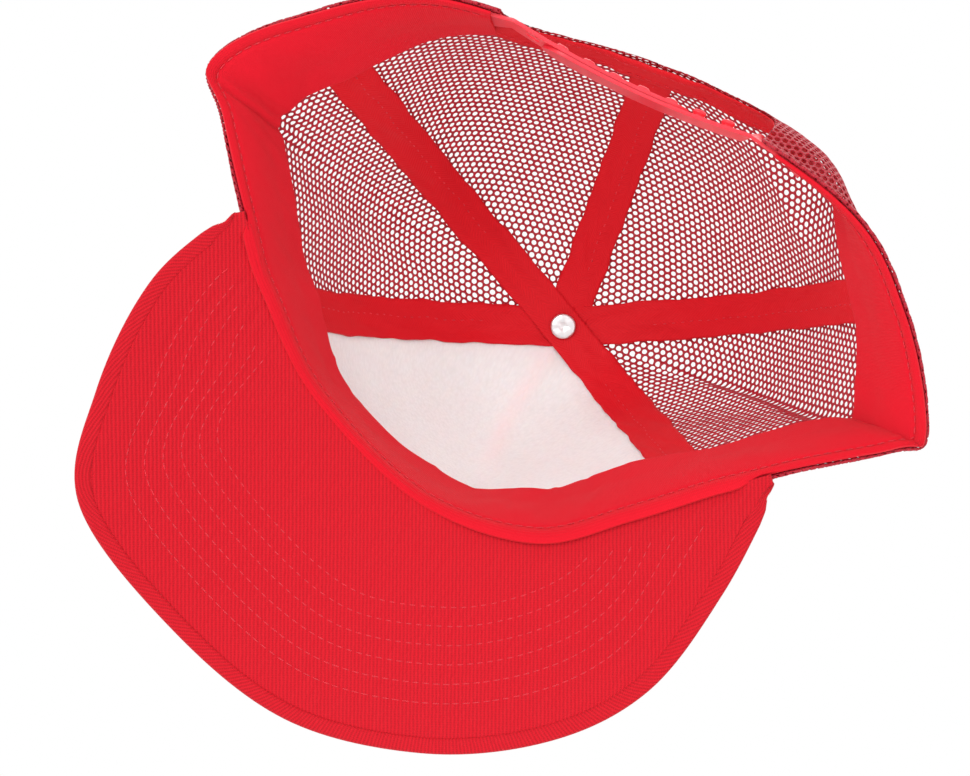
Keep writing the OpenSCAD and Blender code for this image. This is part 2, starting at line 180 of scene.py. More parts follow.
def swell(s, t):
    """How far the soft cloth stands off the even shape: fuller between seams, with slack waves."""
    q = np.mod(s, HEM_POINTS)
    k = np.clip(np.searchsorted(SEAMS, q, side="right") - 1, 0, len(SEAMS) - 2)
    part = (q - SEAMS[k]) / (SEAMS[k + 1] - SEAMS[k])
    span = ease(t / 0.25) * ease((1 - t) / 0.35)
    up = (1 - t) * 105
    bulge = 9.0 * np.exp(-((q - 8.78) / 0.42) ** 2) * np.sin(np.clip(up / 34, 0,
            1) * math.pi) * ease(up / 6)
    corner = (0.6 * np.sin(12 * (q - 4.6) - 4 * t) * np.exp(-((q - 4.9) / 0.55) ** 2)
              * ease(up / 8) * ease((45 - up) / 25))
    turn = q * 2 * math.pi / HEM_POINTS
    waves = (0.5 * np.sin(5 * turn + 7 * t) * np.sin(9 * t + 1.2 + 2 * np.cos(turn))
             + 0.35 * np.sin(11 * turn - 6 * t + 0.7))
    return span * (1.5 * np.sin(math.pi * part) - 0.5 + waves) + bulge + corner


def skin(s, t, off):
    s, t = np.broadcast_arrays(np.asarray(s, float), np.asarray(t, float))
    return crown(s, t) + (np.asarray(off) + swell(s, t))[..., None] * outward(s, t)


# Arc lengths up the wall and distances from the top, on lanes round the hem
LANE = 1 / 24
LANES = np.arange(0, HEM_POINTS + LANE / 2, LANE)
LANE_T = np.linspace(1, 0, 97)
LANE_POINTS = crown(LANES[:, None], LANE_T[None, :])
ARCS = np.hstack([np.zeros((len(LANES), 1)), np.cumsum(np.linalg.norm(np.diff(LANE_POINTS, axis=1),
        axis=-1), axis=1)])
RADII = np.linalg.norm(LANE_POINTS[..., :2] - TOP[:2], axis=-1)[:, ::-1]


def row_interp(x, table, values):
    """Each x looked up in its own rising row of the table."""
    k = np.clip((table < x[:, None]).sum(1), 1, table.shape[1] - 1)
    rows = np.arange(len(x))
    low, high = table[rows, k - 1], table[rows, k]
    w = np.clip((x - low) / np.maximum(high - low, 1e-9), 0, 1)
    return mix(values[k - 1], values[k], w)


def lane_rows(table, s):
    q = np.mod(s, HEM_POINTS) / LANE
    k = np.minimum(np.floor(q).astype(int), len(LANES) - 2)
    return mix(table[k], table[k + 1], (q - k)[:, None])


def flat_call(fn, *arrays):
    arrays = np.broadcast_arrays(*[np.asarray(a, float) for a in arrays])
    return fn(*[a.ravel() for a in arrays]).reshape(arrays[0].shape)


def wall_t(s, d):
    """t of the point a length d up the wall from the hem."""
    return flat_call(lambda a, b: np.where(b <= 0, 1, row_interp(b, lane_rows(ARCS, a), LANE_T)), s, d)


def t_at(s, r):
    """t of the point a distance r from the crown's top, in plan."""
    return flat_call(lambda a, b: row_interp(b, lane_rows(RADII, a), LANE_T[::-1]), s, r)


BEARING_S = np.arange(-4, 20.01, 0.25)
_plan = ring(HEM_PLAN, BEARING_S) - TOP[:2]
_angle = np.degrees(np.arctan2(_plan[:, 1], _plan[:, 0]))
BEARINGS = _angle + 360 * np.round((-85 + 360 / HEM_POINTS * BEARING_S - _angle) / 360)
BACK_S = np.arange(10, 5.99, -0.125)
BACK_X = ring(HEM_PLAN, BACK_S)[:, 0]


def s_at(angle):
    return np.interp(angle, BEARINGS, BEARING_S)


def s_at_x(x):
    return np.interp(x, BACK_X, BACK_S)


def from_seam(s, t):
    q = from_front(s)
    return np.minimum(FRONT_LEFT - q, q - (FRONT_RIGHT - HEM_POINTS)) * 36 * t


def foam_depth(s, t):
    return mix(FOAM_EDGE, FOAM_T, ease(from_seam(s, t) / FOAM_FADE))


def tape_depth(s, t):
    return FOAM_GAP + LAYER_GAP + np.where(from_seam(s, t) > 0, foam_depth(s, t), FOAM_EDGE)


def band_depth(s):
    q = from_front(s)
    past = np.maximum(q - FRONT_LEFT, FRONT_RIGHT - HEM_POINTS - q)
    return mix(FRONT_BAND, SIDE_BAND, ease(past / 0.5))


def band_foot(s):
    return mix(0.4, 1.0, on_visor(s))


def waves(x, y, size, seed=0.0):
    """Soft, uneven waves between about -1 and 1, size across."""
    a, b = x / size * 6.28, y / size * 6.28
    return 0.4 * (np.sin(a + 1.7 * np.sin(0.6 * b + seed))
                  + np.sin(0.8 * b + 1.3 * np.sin(0.7 * a + 2 * seed + 1))
                  + 0.6 * np.sin(1.9 * a + 1.4 * b + seed))


# ---- Building pieces -----------------------------------------------------------------------

def grid_bmesh(columns, rows):
    """A flat unit grid, with x and y from 0 to 1."""
    bm = bmesh.new()
    bmesh.ops.create_grid(bm, x_segments=columns, y_segments=rows, size=0.5)
    bmesh.ops.translate(bm, vec=(0.5, 0.5, 0), verts=bm.verts)
    return bm


def flat_places(bm):
    return np.array([v.co[:] for v in bm.verts])


def lay_out(bm, points, flat=None):
    """Moves the vertices to their places, given in millimetres, and keeps the flat cloth as a UV map."""
    layer = bm.loops.layers.uv.new("Cloth")
    if flat is not None:
        for face in bm.faces:
            for loop in face.loops:
                loop[layer].uv = flat[loop.vert.index] * MM
    for vert, p in zip(bm.verts, points):
        vert.co = Vector(p) * MM


def finish_piece(bm, name, material, body="crown", replaces=(), slot=None, smooth=True):
    bm.normal_update()
    mesh = bpy.data.meshes.new(name)
    bm.to_mesh(mesh)
    bm.free()
    mesh.materials.append(material)
    mesh.polygons.foreach_set("use_smooth", [smooth] * len(mesh.polygons))
    piece = bpy.data.objects.new(name, mesh)
    bpy.context.scene.collection.objects.link(piece)
    if body:
        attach(piece, body)
    if replaces:
        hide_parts(*replaces)
    return piece


def thicken(piece, thickness, offset=-1.0):
    """Thickness in millimetres; offset -1 grows it inwards from the faces' outer side."""
    modifier = piece.modifiers.new("Thickness", "SOLIDIFY")
    modifier.thickness = thickness * MM
    modifier.offset = offset
    modifier.use_even_offset = False
    return piece


def soften_edges(piece, width, angle):
    """Rounds the edges that turn by more than the angle, in degrees."""
    edge = piece.modifiers.new("Edge", "BEVEL")
    edge.width, edge.segments = width * MM, 2
    edge.limit_method, edge.angle_limit = "ANGLE", math.radians(angle)


def face_outwards(bm, outs):
    """Flips the faces where they look against the given outward directions."""
    bm.verts.index_update()
    bm.normal_update()
    total = sum(f.normal.dot(Vector(outs[f.verts[0].index])) for f in bm.faces)
    if total < 0:
        bmesh.ops.reverse_faces(bm, faces=bm.faces)


def cloth(name, columns, rows, place, outs, material, thickness, **details):
    """A sheet of cloth: place turns x and y from 0 to 1 into points, and flat cloth positions."""
    bm = grid_bmesh(columns, rows)
    bm.verts.index_update()
    xy = flat_places(bm)
    points, flat = place(xy[:, 0], xy[:, 1])
    lay_out(bm, points, flat)
    face_outwards(bm, outs(xy[:, 0], xy[:, 1]))
    piece = finish_piece(bm, name, material, **details)
    return thicken(piece, thickness) if thickness else piece


def surface_area(piece):
    return sum(p.area for p in piece.data.polygons)


# The least share of width x length that declare_sheet holds a sheet's area to
LEAST_SHARE = 0.302


def declare_sheet(piece, width, length, area=None):
    """Works out a cut of cloth's clamped area from an estimated flat size, in millimetres, and keeps nothing.

    The area, in square metres, is the given or the measured one, but it is held between
    LEAST_SHARE and 1 times the estimated size, so it isn't always the cloth's true area."""
    area = surface_area(piece) if area is None else area
    box = width * length * MM * MM
    min(max(area, LEAST_SHARE * box), box)


def stitches(name, runs, material, pitch=2.9, length=2.3, thick=0.5, lift=0.05, seed=1, **details):
    """Rows of sewn stitches. Each run is its points and the outward directions there, in millimetres."""
    grain = bmesh.new()
    bmesh.ops.create_uvsphere(grain, u_segments=7, v_segments=5, radius=0.5,
                              matrix=Matrix.Rotation(math.pi / 2, 4, "Y"))
    template = bpy.data.meshes.new("stitch")
    grain.to_mesh(template)
    grain.free()
    draw = random.Random(seed)
    bm = bmesh.new()
    for points, outs in runs:
        run = np.concatenate([[0], np.cumsum(np.linalg.norm(np.diff(points, axis=0), axis=1))])
        for d in np.arange(pitch / 2, run[-1], pitch):
            d = d + draw.uniform(-0.12, 0.12)
            ends = [np.array([np.interp(d + e, run, points[:, i]) for i in range(3)]) for e in (-length / 2,
                    length / 2)]
            out = unit(np.array([np.interp(d, run, outs[:, i]) for i in range(3)]))
            along = unit(ends[1] - ends[0])
            across = unit(np.cross(out, along) + 0.06 * draw.uniform(-1, 1) * along)
            middle = (ends[0] + ends[1]) / 2 + out * lift
            turn = Matrix([along, across, np.cross(along, across)]).transposed().to_4x4()
            place = Matrix.Translation(middle) @ turn @ Matrix.Diagonal((length, thick, thick * 0.8, 1))
            first = len(bm.verts)
            bm.from_mesh(template)
            bm.verts.ensure_lookup_table()
            for vert in bm.verts[first:]:
                vert.co = (place @ vert.co) * MM
    bpy.data.meshes.remove(template)
    return finish_piece(bm, name, material, **details)


# ---- Materials -----------------------------------------------------------------------------

class Finish:
    """A small builder for a material's nodes."""

    def __init__(self, name, colour, roughness, **settings):
        self.material = bpy.data.materials.new(name)
        self.material.use_nodes = True
        self.material.diffuse_color = (*colour, 1)
        self.nodes, self.links = self.material.node_tree.nodes, self.material.node_tree.links
        self.shader = self.nodes["Principled BSDF"]
        self.set(self.shader, {"Base Color": (*colour, 1), "Roughness": roughness, **settings})
        self.height = None

    def set(self, node, values):
        for key, value in values.items():
            socket = node.inputs[key]
            if isinstance(value, bpy.types.NodeSocket):
                self.links.new(value, socket)
            else:
                socket.default_value = value

    def node(self, kind, values=None, **settings):
        node = self.nodes.new("ShaderNode" + kind)
        for key, value in settings.items():
            setattr(node, key, value)
        self.set(node, values or {})
        return node

    def place(self, source="UV", turn=0.0, scale=(1, 1, 1)):
        """Positions on the cloth (UV) or in the object (Object), in metres, turned and scaled."""
        origin = self.node("TexCoord").outputs[source]
        mapping = self.node("Mapping", {"Vector": origin, "Rotation": (0, 0, math.radians(turn)),
                                        "Scale": scale})
        return mapping.outputs[0]

    def math(self, operation, a, b=0.0, clamp=False):
        node = self.nodes.new("ShaderNodeMath")
        node.operation, node.use_clamp = operation, clamp
        self.set(node, {0: a, 1: b})
        return node.outputs[0]

    def noise(self, vector, size, detail=2.0, roughness=0.5):
        """Noise with features about size metres across."""
        node = self.node("TexNoise", {"Vector": vector, "Scale": 1 / size, "Detail": detail,
                                      "Roughness": roughness})
        return node.outputs[0]

    def ribs(self, vector, pitch, axis="X", distortion=0.0, detail_scale=1.0):
        """Even ribs, pitch metres apart."""
        node = self.node("TexWave", {"Vector": vector, "Scale": math.pi / 10 / pitch,
                                     "Distortion": distortion,
                                     "Detail": 2.0, "Detail Scale": detail_scale}, wave_type="BANDS",
                                     bands_direction=axis)
        return node.outputs["Fac"]

    def cells(self, vector, size, feature="F1", randomness=1.0):
        node = self.node("TexVoronoi", {"Vector": vector, "Scale": 1 / size, "Randomness": randomness},
                         feature=feature)
        return node.outputs["Distance"]

    def ramp(self, value, *stops):
        """Colours along a value: stops are (place, colour)."""
        node = self.node("ValToRGB", {"Fac": value})
        elements = node.color_ramp.elements
        while len(elements) < len(stops):
            elements.new(0.5)
        for element, (place, colour) in zip(elements, stops):
            element.position, element.color = place, (*colour, 1)
        return node.outputs[0]

    def tint(self, factor, a, b, mode="MIX"):
        node = self.node("Mix", data_type="RGBA", blend_type=mode)
        a = (*a, 1) if isinstance(a, tuple) and len(a) == 3 else a
        b = (*b, 1) if isinstance(b, tuple) and len(b) == 3 else b
        self.set(node, {0: factor, 6: a, 7: b})
        return node.outputs[2]

    def colour(self, output):
        self.links.new(output, self.shader.inputs["Base Color"])

    def roughness(self, value, low, high):
        node = self.node("MapRange", {0: value, 3: low, 4: high})
        self.links.new(node.outputs[0], self.shader.inputs["Roughness"])

    def bump(self, height, depth, strength=1.0):
        """Adds relief: depth in metres is what a height of 1 stands up."""
        values = {"Height": height, "Distance": depth, "Strength": strength}
        if self.height is not None:
            values["Normal"] = self.height
        node = self.node("Bump", values)
        self.height = node.outputs[0]
        self.links.new(self.height, self.shader.inputs["Normal"])


def shade(colour, factor):
    return tuple(min(1.0, c * factor) for c in colour)


def twill(name, colour, rib=0.00105, turn=29.0):
    """Cotton twill: fine steep ribs, yarn crossings, faint slubs and a soft nap."""
    f = Finish(name, colour, 0.78, **{"Sheen Weight": 0.12, "Sheen Roughness": 0.45,
                                      "Sheen Tint": (1, 0.55, 0.55, 1), "Specular IOR Level": 0.25})
    cloth_place = f.place("UV", turn)
    ribs = f.ribs(cloth_place, rib, "X", 1.2, 1.5)
    yarn = f.ribs(cloth_place, rib * 0.62, "Y", 2.5, 3.0)
    slub = f.noise(f.place("UV", turn, (1, 0.12, 1)), 0.0011, 3.0, 0.6)
    patches = f.noise(f.place("UV"), 0.022, 3.0)
    weave = f.math("ADD", f.math("MULTIPLY", ribs, 0.75), f.math("MULTIPLY", yarn, 0.25))
    tone = f.ramp(weave, (0.0, shade(colour, 0.62)), (0.45, colour), (1.0, shade(colour, 1.1)))
    tone = f.tint(f.math("MULTIPLY", slub, 0.35), tone, shade(colour, 0.7))
    tone = f.tint(f.math("MULTIPLY", patches, 0.22), tone, shade(colour, 0.82))
    f.colour(tone)
    f.roughness(slub, 0.7, 0.88)
    f.bump(patches, 0.0006, 0.5)
    f.bump(weave, 0.00022, 0.9)
    f.bump(slub, 0.0001, 0.6)
    return f.material


def knit(name, colour, rib=0.0006, sheen=0.04, dark=0.8):
    """Smooth brushed knit: tiny loops in columns, a little fuzz and soft patches."""
    f = Finish(name, colour, 0.74, **{"Sheen Weight": sheen, "Sheen Roughness": 0.5,
                                      "Sheen Tint": (1, 0.3, 0.3, 1), "Specular IOR Level": 0.12})
    cloth_place = f.place("UV")
    columns = f.ribs(cloth_place, rib, "X", 1.0, 2.0)
    loops = f.ribs(cloth_place, rib * 0.8, "Y", 1.6, 2.0)
    fuzz = f.noise(cloth_place, 0.0007, 4.0, 0.65)
    patches = f.noise(cloth_place, 0.018, 3.0)
    weave = f.math("MULTIPLY", columns, loops)
    tone = f.tint(weave, shade(colour, dark), shade(colour, 1.06))
    tone = f.tint(f.math("MULTIPLY", fuzz, 0.3), tone, shade(colour, 0.8))
    tone = f.tint(f.math("MULTIPLY", patches, 0.25), tone, shade(colour, 0.86))
    f.colour(tone)
    f.roughness(fuzz, 0.66, 0.84)
    f.bump(patches, 0.0007, 0.5)
    f.bump(weave, 0.00012, 0.8)
    f.bump(fuzz, 0.00014, 0.6)
    return f.material


def tape_cloth(name, colour):
    """Woven tape: a fine chevron and needle puckers."""
    f = Finish(name, colour, 0.7, **{"Sheen Weight": 0.03, "Sheen Roughness": 0.4,
                                     "Sheen Tint": (1, 0.55, 0.55, 1), "Specular IOR Level": 0.3})
    left = f.ribs(f.place("UV", 45.0), 0.0007, "X", 0.6, 2.0)
    right = f.ribs(f.place("UV", -45.0), 0.0007, "X", 0.6, 2.0)
    across = f.node("SeparateXYZ", {0: f.place("UV")}).outputs[0]
    side = f.math("GREATER_THAN", f.math("SINE", f.math("MULTIPLY", across, 2 * math.pi / 0.0065)), 0.0)
    chevron = f.math("ADD", f.math("MULTIPLY", left, side), f.math("MULTIPLY", right,
            f.math("SUBTRACT", 1.0, side)))
    fuzz = f.noise(f.place("UV"), 0.0006, 4.0, 0.6)
    patches = f.noise(f.place("UV", 0.0, (1, 0.5, 1)), 0.006, 2.0)
    tone = f.tint(chevron, shade(colour, 0.95), shade(colour, 1.03))
    tone = f.tint(f.math("MULTIPLY", patches, 0.4), tone, shade(colour, 0.76))
    f.colour(tone)
    f.roughness(fuzz, 0.6, 0.8)
    f.bump(patches, 0.0008, 0.6)
    f.bump(chevron, 0.00008, 0.6)
    f.bump(fuzz, 0.0001, 0.5)
    return f.material


def strand(name, colour, pitch=0.0005):
    """Polyester yarn: twisted filaments with a satin gloss."""
    f = Finish(name, colour, 0.45, **{"Sheen Weight": 0.15, "Sheen Roughness": 0.3,
                                      "Sheen Tint": (1, 0.6, 0.6, 1), "Specular IOR Level": 0.4,
                                       "Subsurface Weight": 0.12, "Subsurface Radius": (0.0012, 0.0003,
                                               0.0003), "Subsurface Scale": 1.0})
    place = f.place("Object", 33.0)
    twist = f.ribs(place, pitch, "DIAGONAL", 3.0, 3.0)
    dye = f.noise(f.place("Object"), 0.009, 3.0)
    tone = f.tint(twist, shade(colour, 0.66), shade(colour, 1.12))
    tone = f.tint(f.math("MULTIPLY", dye, 0.35), tone, shade(colour, 0.72))
    f.colour(tone)
    f.roughness(twist, 0.38, 0.6)
    f.bump(twist, 0.0001, 0.8)
    return f.material


def foam(name, colour, painted_glow):
    """Open-cell foam with fine pores, and a painted pink glow where its mask marks it: painted light of the
    red cloth behind shining through the foam.
    """
    f = Finish(name, colour, 0.92, **{"Subsurface Weight": 0.35,
                                      "Subsurface Radius": (0.004, 0.0022, 0.0018), "Subsurface Scale": 1.0,
                                      "Specular IOR Level": 0.15})
    place = f.place("UV")
    pores = f.cells(place, 0.0009)
    fine = f.noise(place, 0.0005, 4.0, 0.7)
    patches = f.noise(place, 0.03, 3.0)
    # Mask of the painted glow: the red cloth's light shining through the foam, painted pink in the crease and
    # near the seams.
    crease = f.node("VertexColor", layer_name="PaintedGlow").outputs[0]
    tone = f.tint(f.math("MULTIPLY", pores, 0.4), colour, shade(colour, 0.8))
    # Random patches lean towards the painted glow's colour: partly uneven tone, partly painted pink light.
    tone = f.tint(f.math("MULTIPLY", patches, 0.25), tone, shade(painted_glow, 1.15))
    tone = f.tint(f.node("SeparateColor", {0: crease}).outputs[0], tone, painted_glow)
    f.colour(tone)
    f.roughness(fine, 0.86, 0.98)
    f.bump(pores, 0.00018, 0.6)
    f.bump(fine, 0.00012, 0.6)
    return f.material


def soft_plastic(name, colour):
    """Slightly see-through moulded plastic, satin, with fine scuffs."""
    f = Finish(name, colour, 0.36, **{"Subsurface Weight": 0.5, "Subsurface Radius": (0.004, 0.0012, 0.001),
                                      "Subsurface Scale": 1.0,
                                       "Specular IOR Level": 0.45, "Coat Weight": 0.08,
                                       "Coat Roughness": 0.25})
    place = f.place("Object")
    cloud = f.noise(place, 0.006, 3.0)
    scuff = f.noise(f.place("Object", 12.0, (1, 1, 9)), 0.0016, 5.0, 0.7)
    grain = f.noise(place, 0.0003, 2.0)
    f.colour(f.tint(f.math("MULTIPLY", cloud, 0.4), colour, shade(colour, 0.84)))
    f.roughness(scuff, 0.26, 0.52)
    f.bump(grain, 0.00002, 0.5)
    f.bump(scuff, 0.00003, 0.4)
    return f.material


def metal(name, colour):
    """Pressed, tumbled metal with fine scratches, small dents and dull spots."""
    f = Finish(name, colour, 0.5, **{"Metallic": 1.0})
    place = f.place("Object")
    scratch = f.noise(f.place("Object", 40.0, (1, 12, 1)), 0.0012, 5.0, 0.7)
    dents = f.noise(place, 0.0016, 2.0)
    dull = f.noise(place, 0.0028, 4.0, 0.7)
    f.colour(f.ramp(dull, (0.3, shade(colour, 0.6)), (0.62, colour), (1.0, shade(colour, 1.15))))
    f.roughness(scratch, 0.4, 0.6)
    f.bump(dents, 0.00025, 0.6)
    f.bump(scratch, 0.00004, 0.5)
    return f.material


def plastic_board(name, colour):
    """Matt moulded sheet with a fine grain."""
    f = Finish(name, colour, 0.6)
    grain = f.noise(f.place("Object"), 0.0006, 3.0)
    cloud = f.noise(f.place("Object"), 0.02, 2.0)
    f.colour(f.tint(f.math("MULTIPLY", cloud, 0.3), colour, shade(colour, 0.92)))
    f.roughness(grain, 0.5, 0.72)
    f.bump(grain, 0.00005, 0.6)
    return f.material


MAKERS = {
    "visor_twill": lambda c: twill("visor_twill", tuple(c.twill)),
    "front_knit": lambda c: knit("front_knit", tuple(c.front)),
    "band_cloth": lambda c: knit("band_cloth", tuple(c.band), 0.00045, 0.2, 0.88),
    "seam_tape": lambda c: tape_cloth("seam_tape", tuple(c.tape)),
    "mesh_yarn": lambda c: strand("mesh_yarn", tuple(c.mesh)),
    "sewing_thread": lambda c: strand("sewing_thread", tuple(c.thread), 0.0004),
    "foam_lining": lambda c: foam("foam_lining", tuple(c.foam), tuple(c.painted_glow)),
    "strap_plastic": lambda c: soft_plastic("strap_plastic", tuple(c.strap)),
    "rivet_metal": lambda c: metal("rivet_metal", tuple(c.rivet)),
    "visor_board_plastic": lambda c: plastic_board("visor_board_plastic", (0.82, 0.82, 0.80)),
}


def material(name):
    """The named finish, made the first time that it is asked for."""
    found = bpy.data.materials.get(name)
    return found or MAKERS[name](bpy.context.scene.cap_colours)


# ---- Settings ------------------------------------------------------------------------------

def colour_prop(name, description, default):
    return bpy.props.FloatVectorProperty(name=name, description=description, default=default,
                                         subtype="COLOR", min=0, max=1, size=3)


def length_prop(name, description, default, low, high):
    return bpy.props.FloatProperty(name=name, description=description, default=default, min=low, max=high,
                                   unit="LENGTH")


class CapColours(bpy.types.PropertyGroup):
    twill: colour_prop("Visor twill", "Colour of the twill that covers the visor", (0.62, 0.003, 0.014))
    front: colour_prop("Front knit", "Colour of the front panel", (0.63, 0.004, 0.016))
    band: colour_prop("Sweatband", "Colour of the sweatband and its piping", (0.79, 0.007, 0.022))
    tape: colour_prop("Seam tape", "Colour of the seam tapes and the arch's binding", (0.70, 0.003, 0.012))
    mesh: colour_prop("Mesh", "Colour of the mesh yarn", (0.50, 0.008, 0.026))
    thread: colour_prop("Thread", "Colour of the sewing thread", (0.76, 0.022, 0.040))
    foam: colour_prop("Foam", "Colour of the front panel's foam", (0.89, 0.965, 0.945))
    # The foam's painted glow colour: a pink that paints the red cloth's light shining through the foam.
    painted_glow: colour_prop("Foam blush", "Colour of the foam where the red cloth shows through",
                       (0.95, 0.84, 0.84))
    strap: colour_prop("Strap", "Colour of the plastic strap", (0.86, 0.028, 0.052))
    rivet: colour_prop("Rivet", "Colour of the rivet's metal", (0.20, 0.165, 0.17))


class CapSizes(bpy.types.PropertyGroup):
    hole_pitch: length_prop("Mesh hole pitch", "Distance between holes of the mesh along a column",
                            2.35 * MM, 1.8 * MM, 3 * MM)
    column_pitch: length_prop("Mesh column pitch", "Distance between columns of holes", 1.85 * MM, 1.5 * MM,
                              2.6 * MM)
    hole_size: length_prop("Mesh hole size", "Diameter of a hole of the mesh", 1.60 * MM, 1.1 * MM,
                           1.8 * MM)
    mesh_thickness: length_prop("Mesh thickness", "Thickness of the mesh", 0.34 * MM, 0.3 * MM, 0.6 * MM)
    stitch_length: length_prop("Stitch length", "Length of a topstitch", 2.3 * MM, 1.5 * MM, 3.5 * MM)
    thread_size: length_prop("Thread diameter", "Diameter of the sewing thread", 0.45 * MM, 0.3 * MM,
                             0.6 * MM)
    mesh_fold: length_prop("Mesh hem fold", "How far the mesh is folded up inside its hem", 4 * MM, 2 * MM,
                           8 * MM)


# ---- Front panel and foam ------------------------------------------------------------------

class CAP_OT_front(bpy.types.Operator):
    """Build the front panel's knit and its foam lining"""

    bl_idname = "cap.front"
    bl_label = "Front Panel"

    def execute(self, context):
        low, high = FRONT_RIGHT - HEM_POINTS + 0.005, FRONT_LEFT - 0.005

        def outer(x, y):
            s, t = mix(low, high, x), mix(0.045, 1.0, y)
            points = skin(s, t, PANEL_T)
            return points, np.stack([points[:, 0] * 1.05, points[:, 2] * 1.2 - points[:, 1] * 0.4], -1)

        panel = cloth("front_panel_knit", 120, 90, outer,
                      lambda x, y: outward(mix(low, high, x), mix(0.045, 1.0, y)), material("front_knit"),
                      0.75,
                      replaces=["front_panel"], slot="red_knit")
        declare_sheet(panel, 150, 130)
        self.foam(low + 0.025, high - 0.025)
        return {"FINISHED"}

    def foam(self, low, high):
        """The foam is one closed pad: its two faces are grids, joined round their rims."""
        bm = bmesh.new()
        halves = []
        for _ in range(2):
            first = len(bm.verts)
            made = bmesh.ops.create_grid(bm, x_segments=110, y_segments=90, size=0.5)
            bmesh.ops.translate(bm, vec=(0.5, 0.5, 0), verts=made["verts"])
            halves.append((first, len(bm.verts)))
        bm.verts.index_update()
        xy = flat_places(bm)
        s = mix(low, high, xy[:, 0])
        t = mix(0.03, wall_t(s, 1.5), xy[:, 1])
        inner = np.arange(len(s)) >= halves[1][0]
        q = from_front(s)
        wide = 0.035 + 0.05 / np.maximum(t, 0.08)
        crease = np.exp(-((q + 0.28 - 0.05 * np.sin(7 * t)) / wide) ** 2) * ease((0.72 - t) / 0.25)
        relief = 0.3 * waves(q * 36 * t, t * 110, 31.0) + 0.9 * crease
        depth = FOAM_GAP + np.where(inner, foam_depth(s, t) + relief * ease(from_seam(s, t) / 20), 0)
        points = skin(s, t, -depth)
        lay_out(bm, points, np.stack([points[:, 0], points[:, 2]], -1))
        outs = outward(s, t)
        bm.faces.ensure_lookup_table()
        bm.normal_update()
        turned = [f for f in bm.faces
                  if (f.normal.dot(Vector(outs[f.verts[0].index])) < 0) != bool(inner[f.verts[0].index])]
        bmesh.ops.reverse_faces(bm, faces=turned)
        rims = [e for e in bm.edges if e.is_boundary]
        bmesh.ops.bridge_loops(bm, edges=rims)
        bmesh.ops.recalc_face_normals(bm, faces=bm.faces)
        piece = finish_piece(bm, "front_foam_lining", material("foam_lining"), replaces=["front_foam"],
                             slot="cream_foam")
        # Painted glow mask: where the red light through the foam is painted pink, in the crease and near the
        # seams at the top.
        painted_glow = piece.data.color_attributes.new("PaintedGlow", "FLOAT_COLOR", "POINT")
        seam_glow_share = ease((12 - from_seam(s, t)) / 12)
        tint = np.clip(0.55 * crease + 0.5 * seam_glow_share * ease((0.5 - t) / 0.4), 0, 1)
        values = np.repeat(tint[:, None], 4, 1)
        values[:, 3] = 1
        painted_glow.data.foreach_set("color", values.ravel())


# ---- Mesh panels ---------------------------------------------------------------------------

class MeshChart:
    """Lays a panel out flat as a fan round the crown's top, to cut it from flat mesh.

    Every flat point keeps its distance to the top, and its distance round the crown
    to the panel's middle."""

    COLUMNS, ROWS, NEAREST = 40, 48, 5.0

    def __init__(self, a, b, fold):
        self.s = np.linspace(a, b, self.COLUMNS + 1)
        self.length = lane_rows(ARCS, self.s)[:, -1]
        self.reach = np.linspace(self.NEAREST, self.length.max() + fold, self.ROWS)
        down = np.maximum(self.length[None, :] - self.reach[:, None], 0)
        places = np.broadcast_to(self.s, down.shape)
        points = crown(places, flat_call(wall_t, places, down))
        steps = np.linalg.norm(np.diff(points, axis=1), axis=-1)
        along = np.hstack([np.zeros((self.ROWS, 1)), np.cumsum(steps, axis=1)])
        self.along = along - along[:, self.COLUMNS // 2][:, None]
        self.fold = fold

    def position(self, x, y):
        """Hem position and height up the wall of flat points, and how far outside the panel they are."""
        reach = np.hypot(x, y)
        round_top = reach * np.arctan2(x, y)
        k = np.clip(np.searchsorted(self.reach, reach) - 1, 0, self.ROWS - 2)
        w = np.clip((reach - self.reach[k]) / (self.reach[k + 1] - self.reach[k]), 0, 1)
        rows = mix(self.along[k], self.along[k + 1], w[:, None])
        s = row_interp(round_top, rows, self.s)
        d = np.interp(s, self.s, self.length) - reach
        away = np.maximum(np.maximum(rows[:, 0] - round_top, round_top - rows[:, -1]), 0)
        away = np.where((reach > self.NEAREST) & (d > -self.fold), away, 99.0)
        return s, d, away


def inside_arch(s, d):
    """Below 1 inside the arch, above 1 outside it."""
    x = ring(HEM_PLAN, s)[..., 0]
    reach = (np.abs(x - ARCH_X) / ARCH_R) ** ARCH_POWER + (np.abs(d) / ARCH_H) ** ARCH_POWER
    back = (np.mod(s, HEM_POINTS) > 6.5) & (np.mod(s, HEM_POINTS) < 9.4)
    return np.where(back, reach, 9.0)


def push_out_of_arch(s, d, margin=1.0):
    """Moves points inside the arch to its edge."""
    reach = inside_arch(s, d)
    inside = reach < margin
    scale = np.where(inside, (margin / np.maximum(reach, 1e-6)) ** (1 / ARCH_POWER), 1)
    x = ARCH_X + (ring(HEM_PLAN, s)[..., 0] - ARCH_X) * scale
    return np.where(inside, s_at_x(x), s), np.where(inside, d * scale, d)


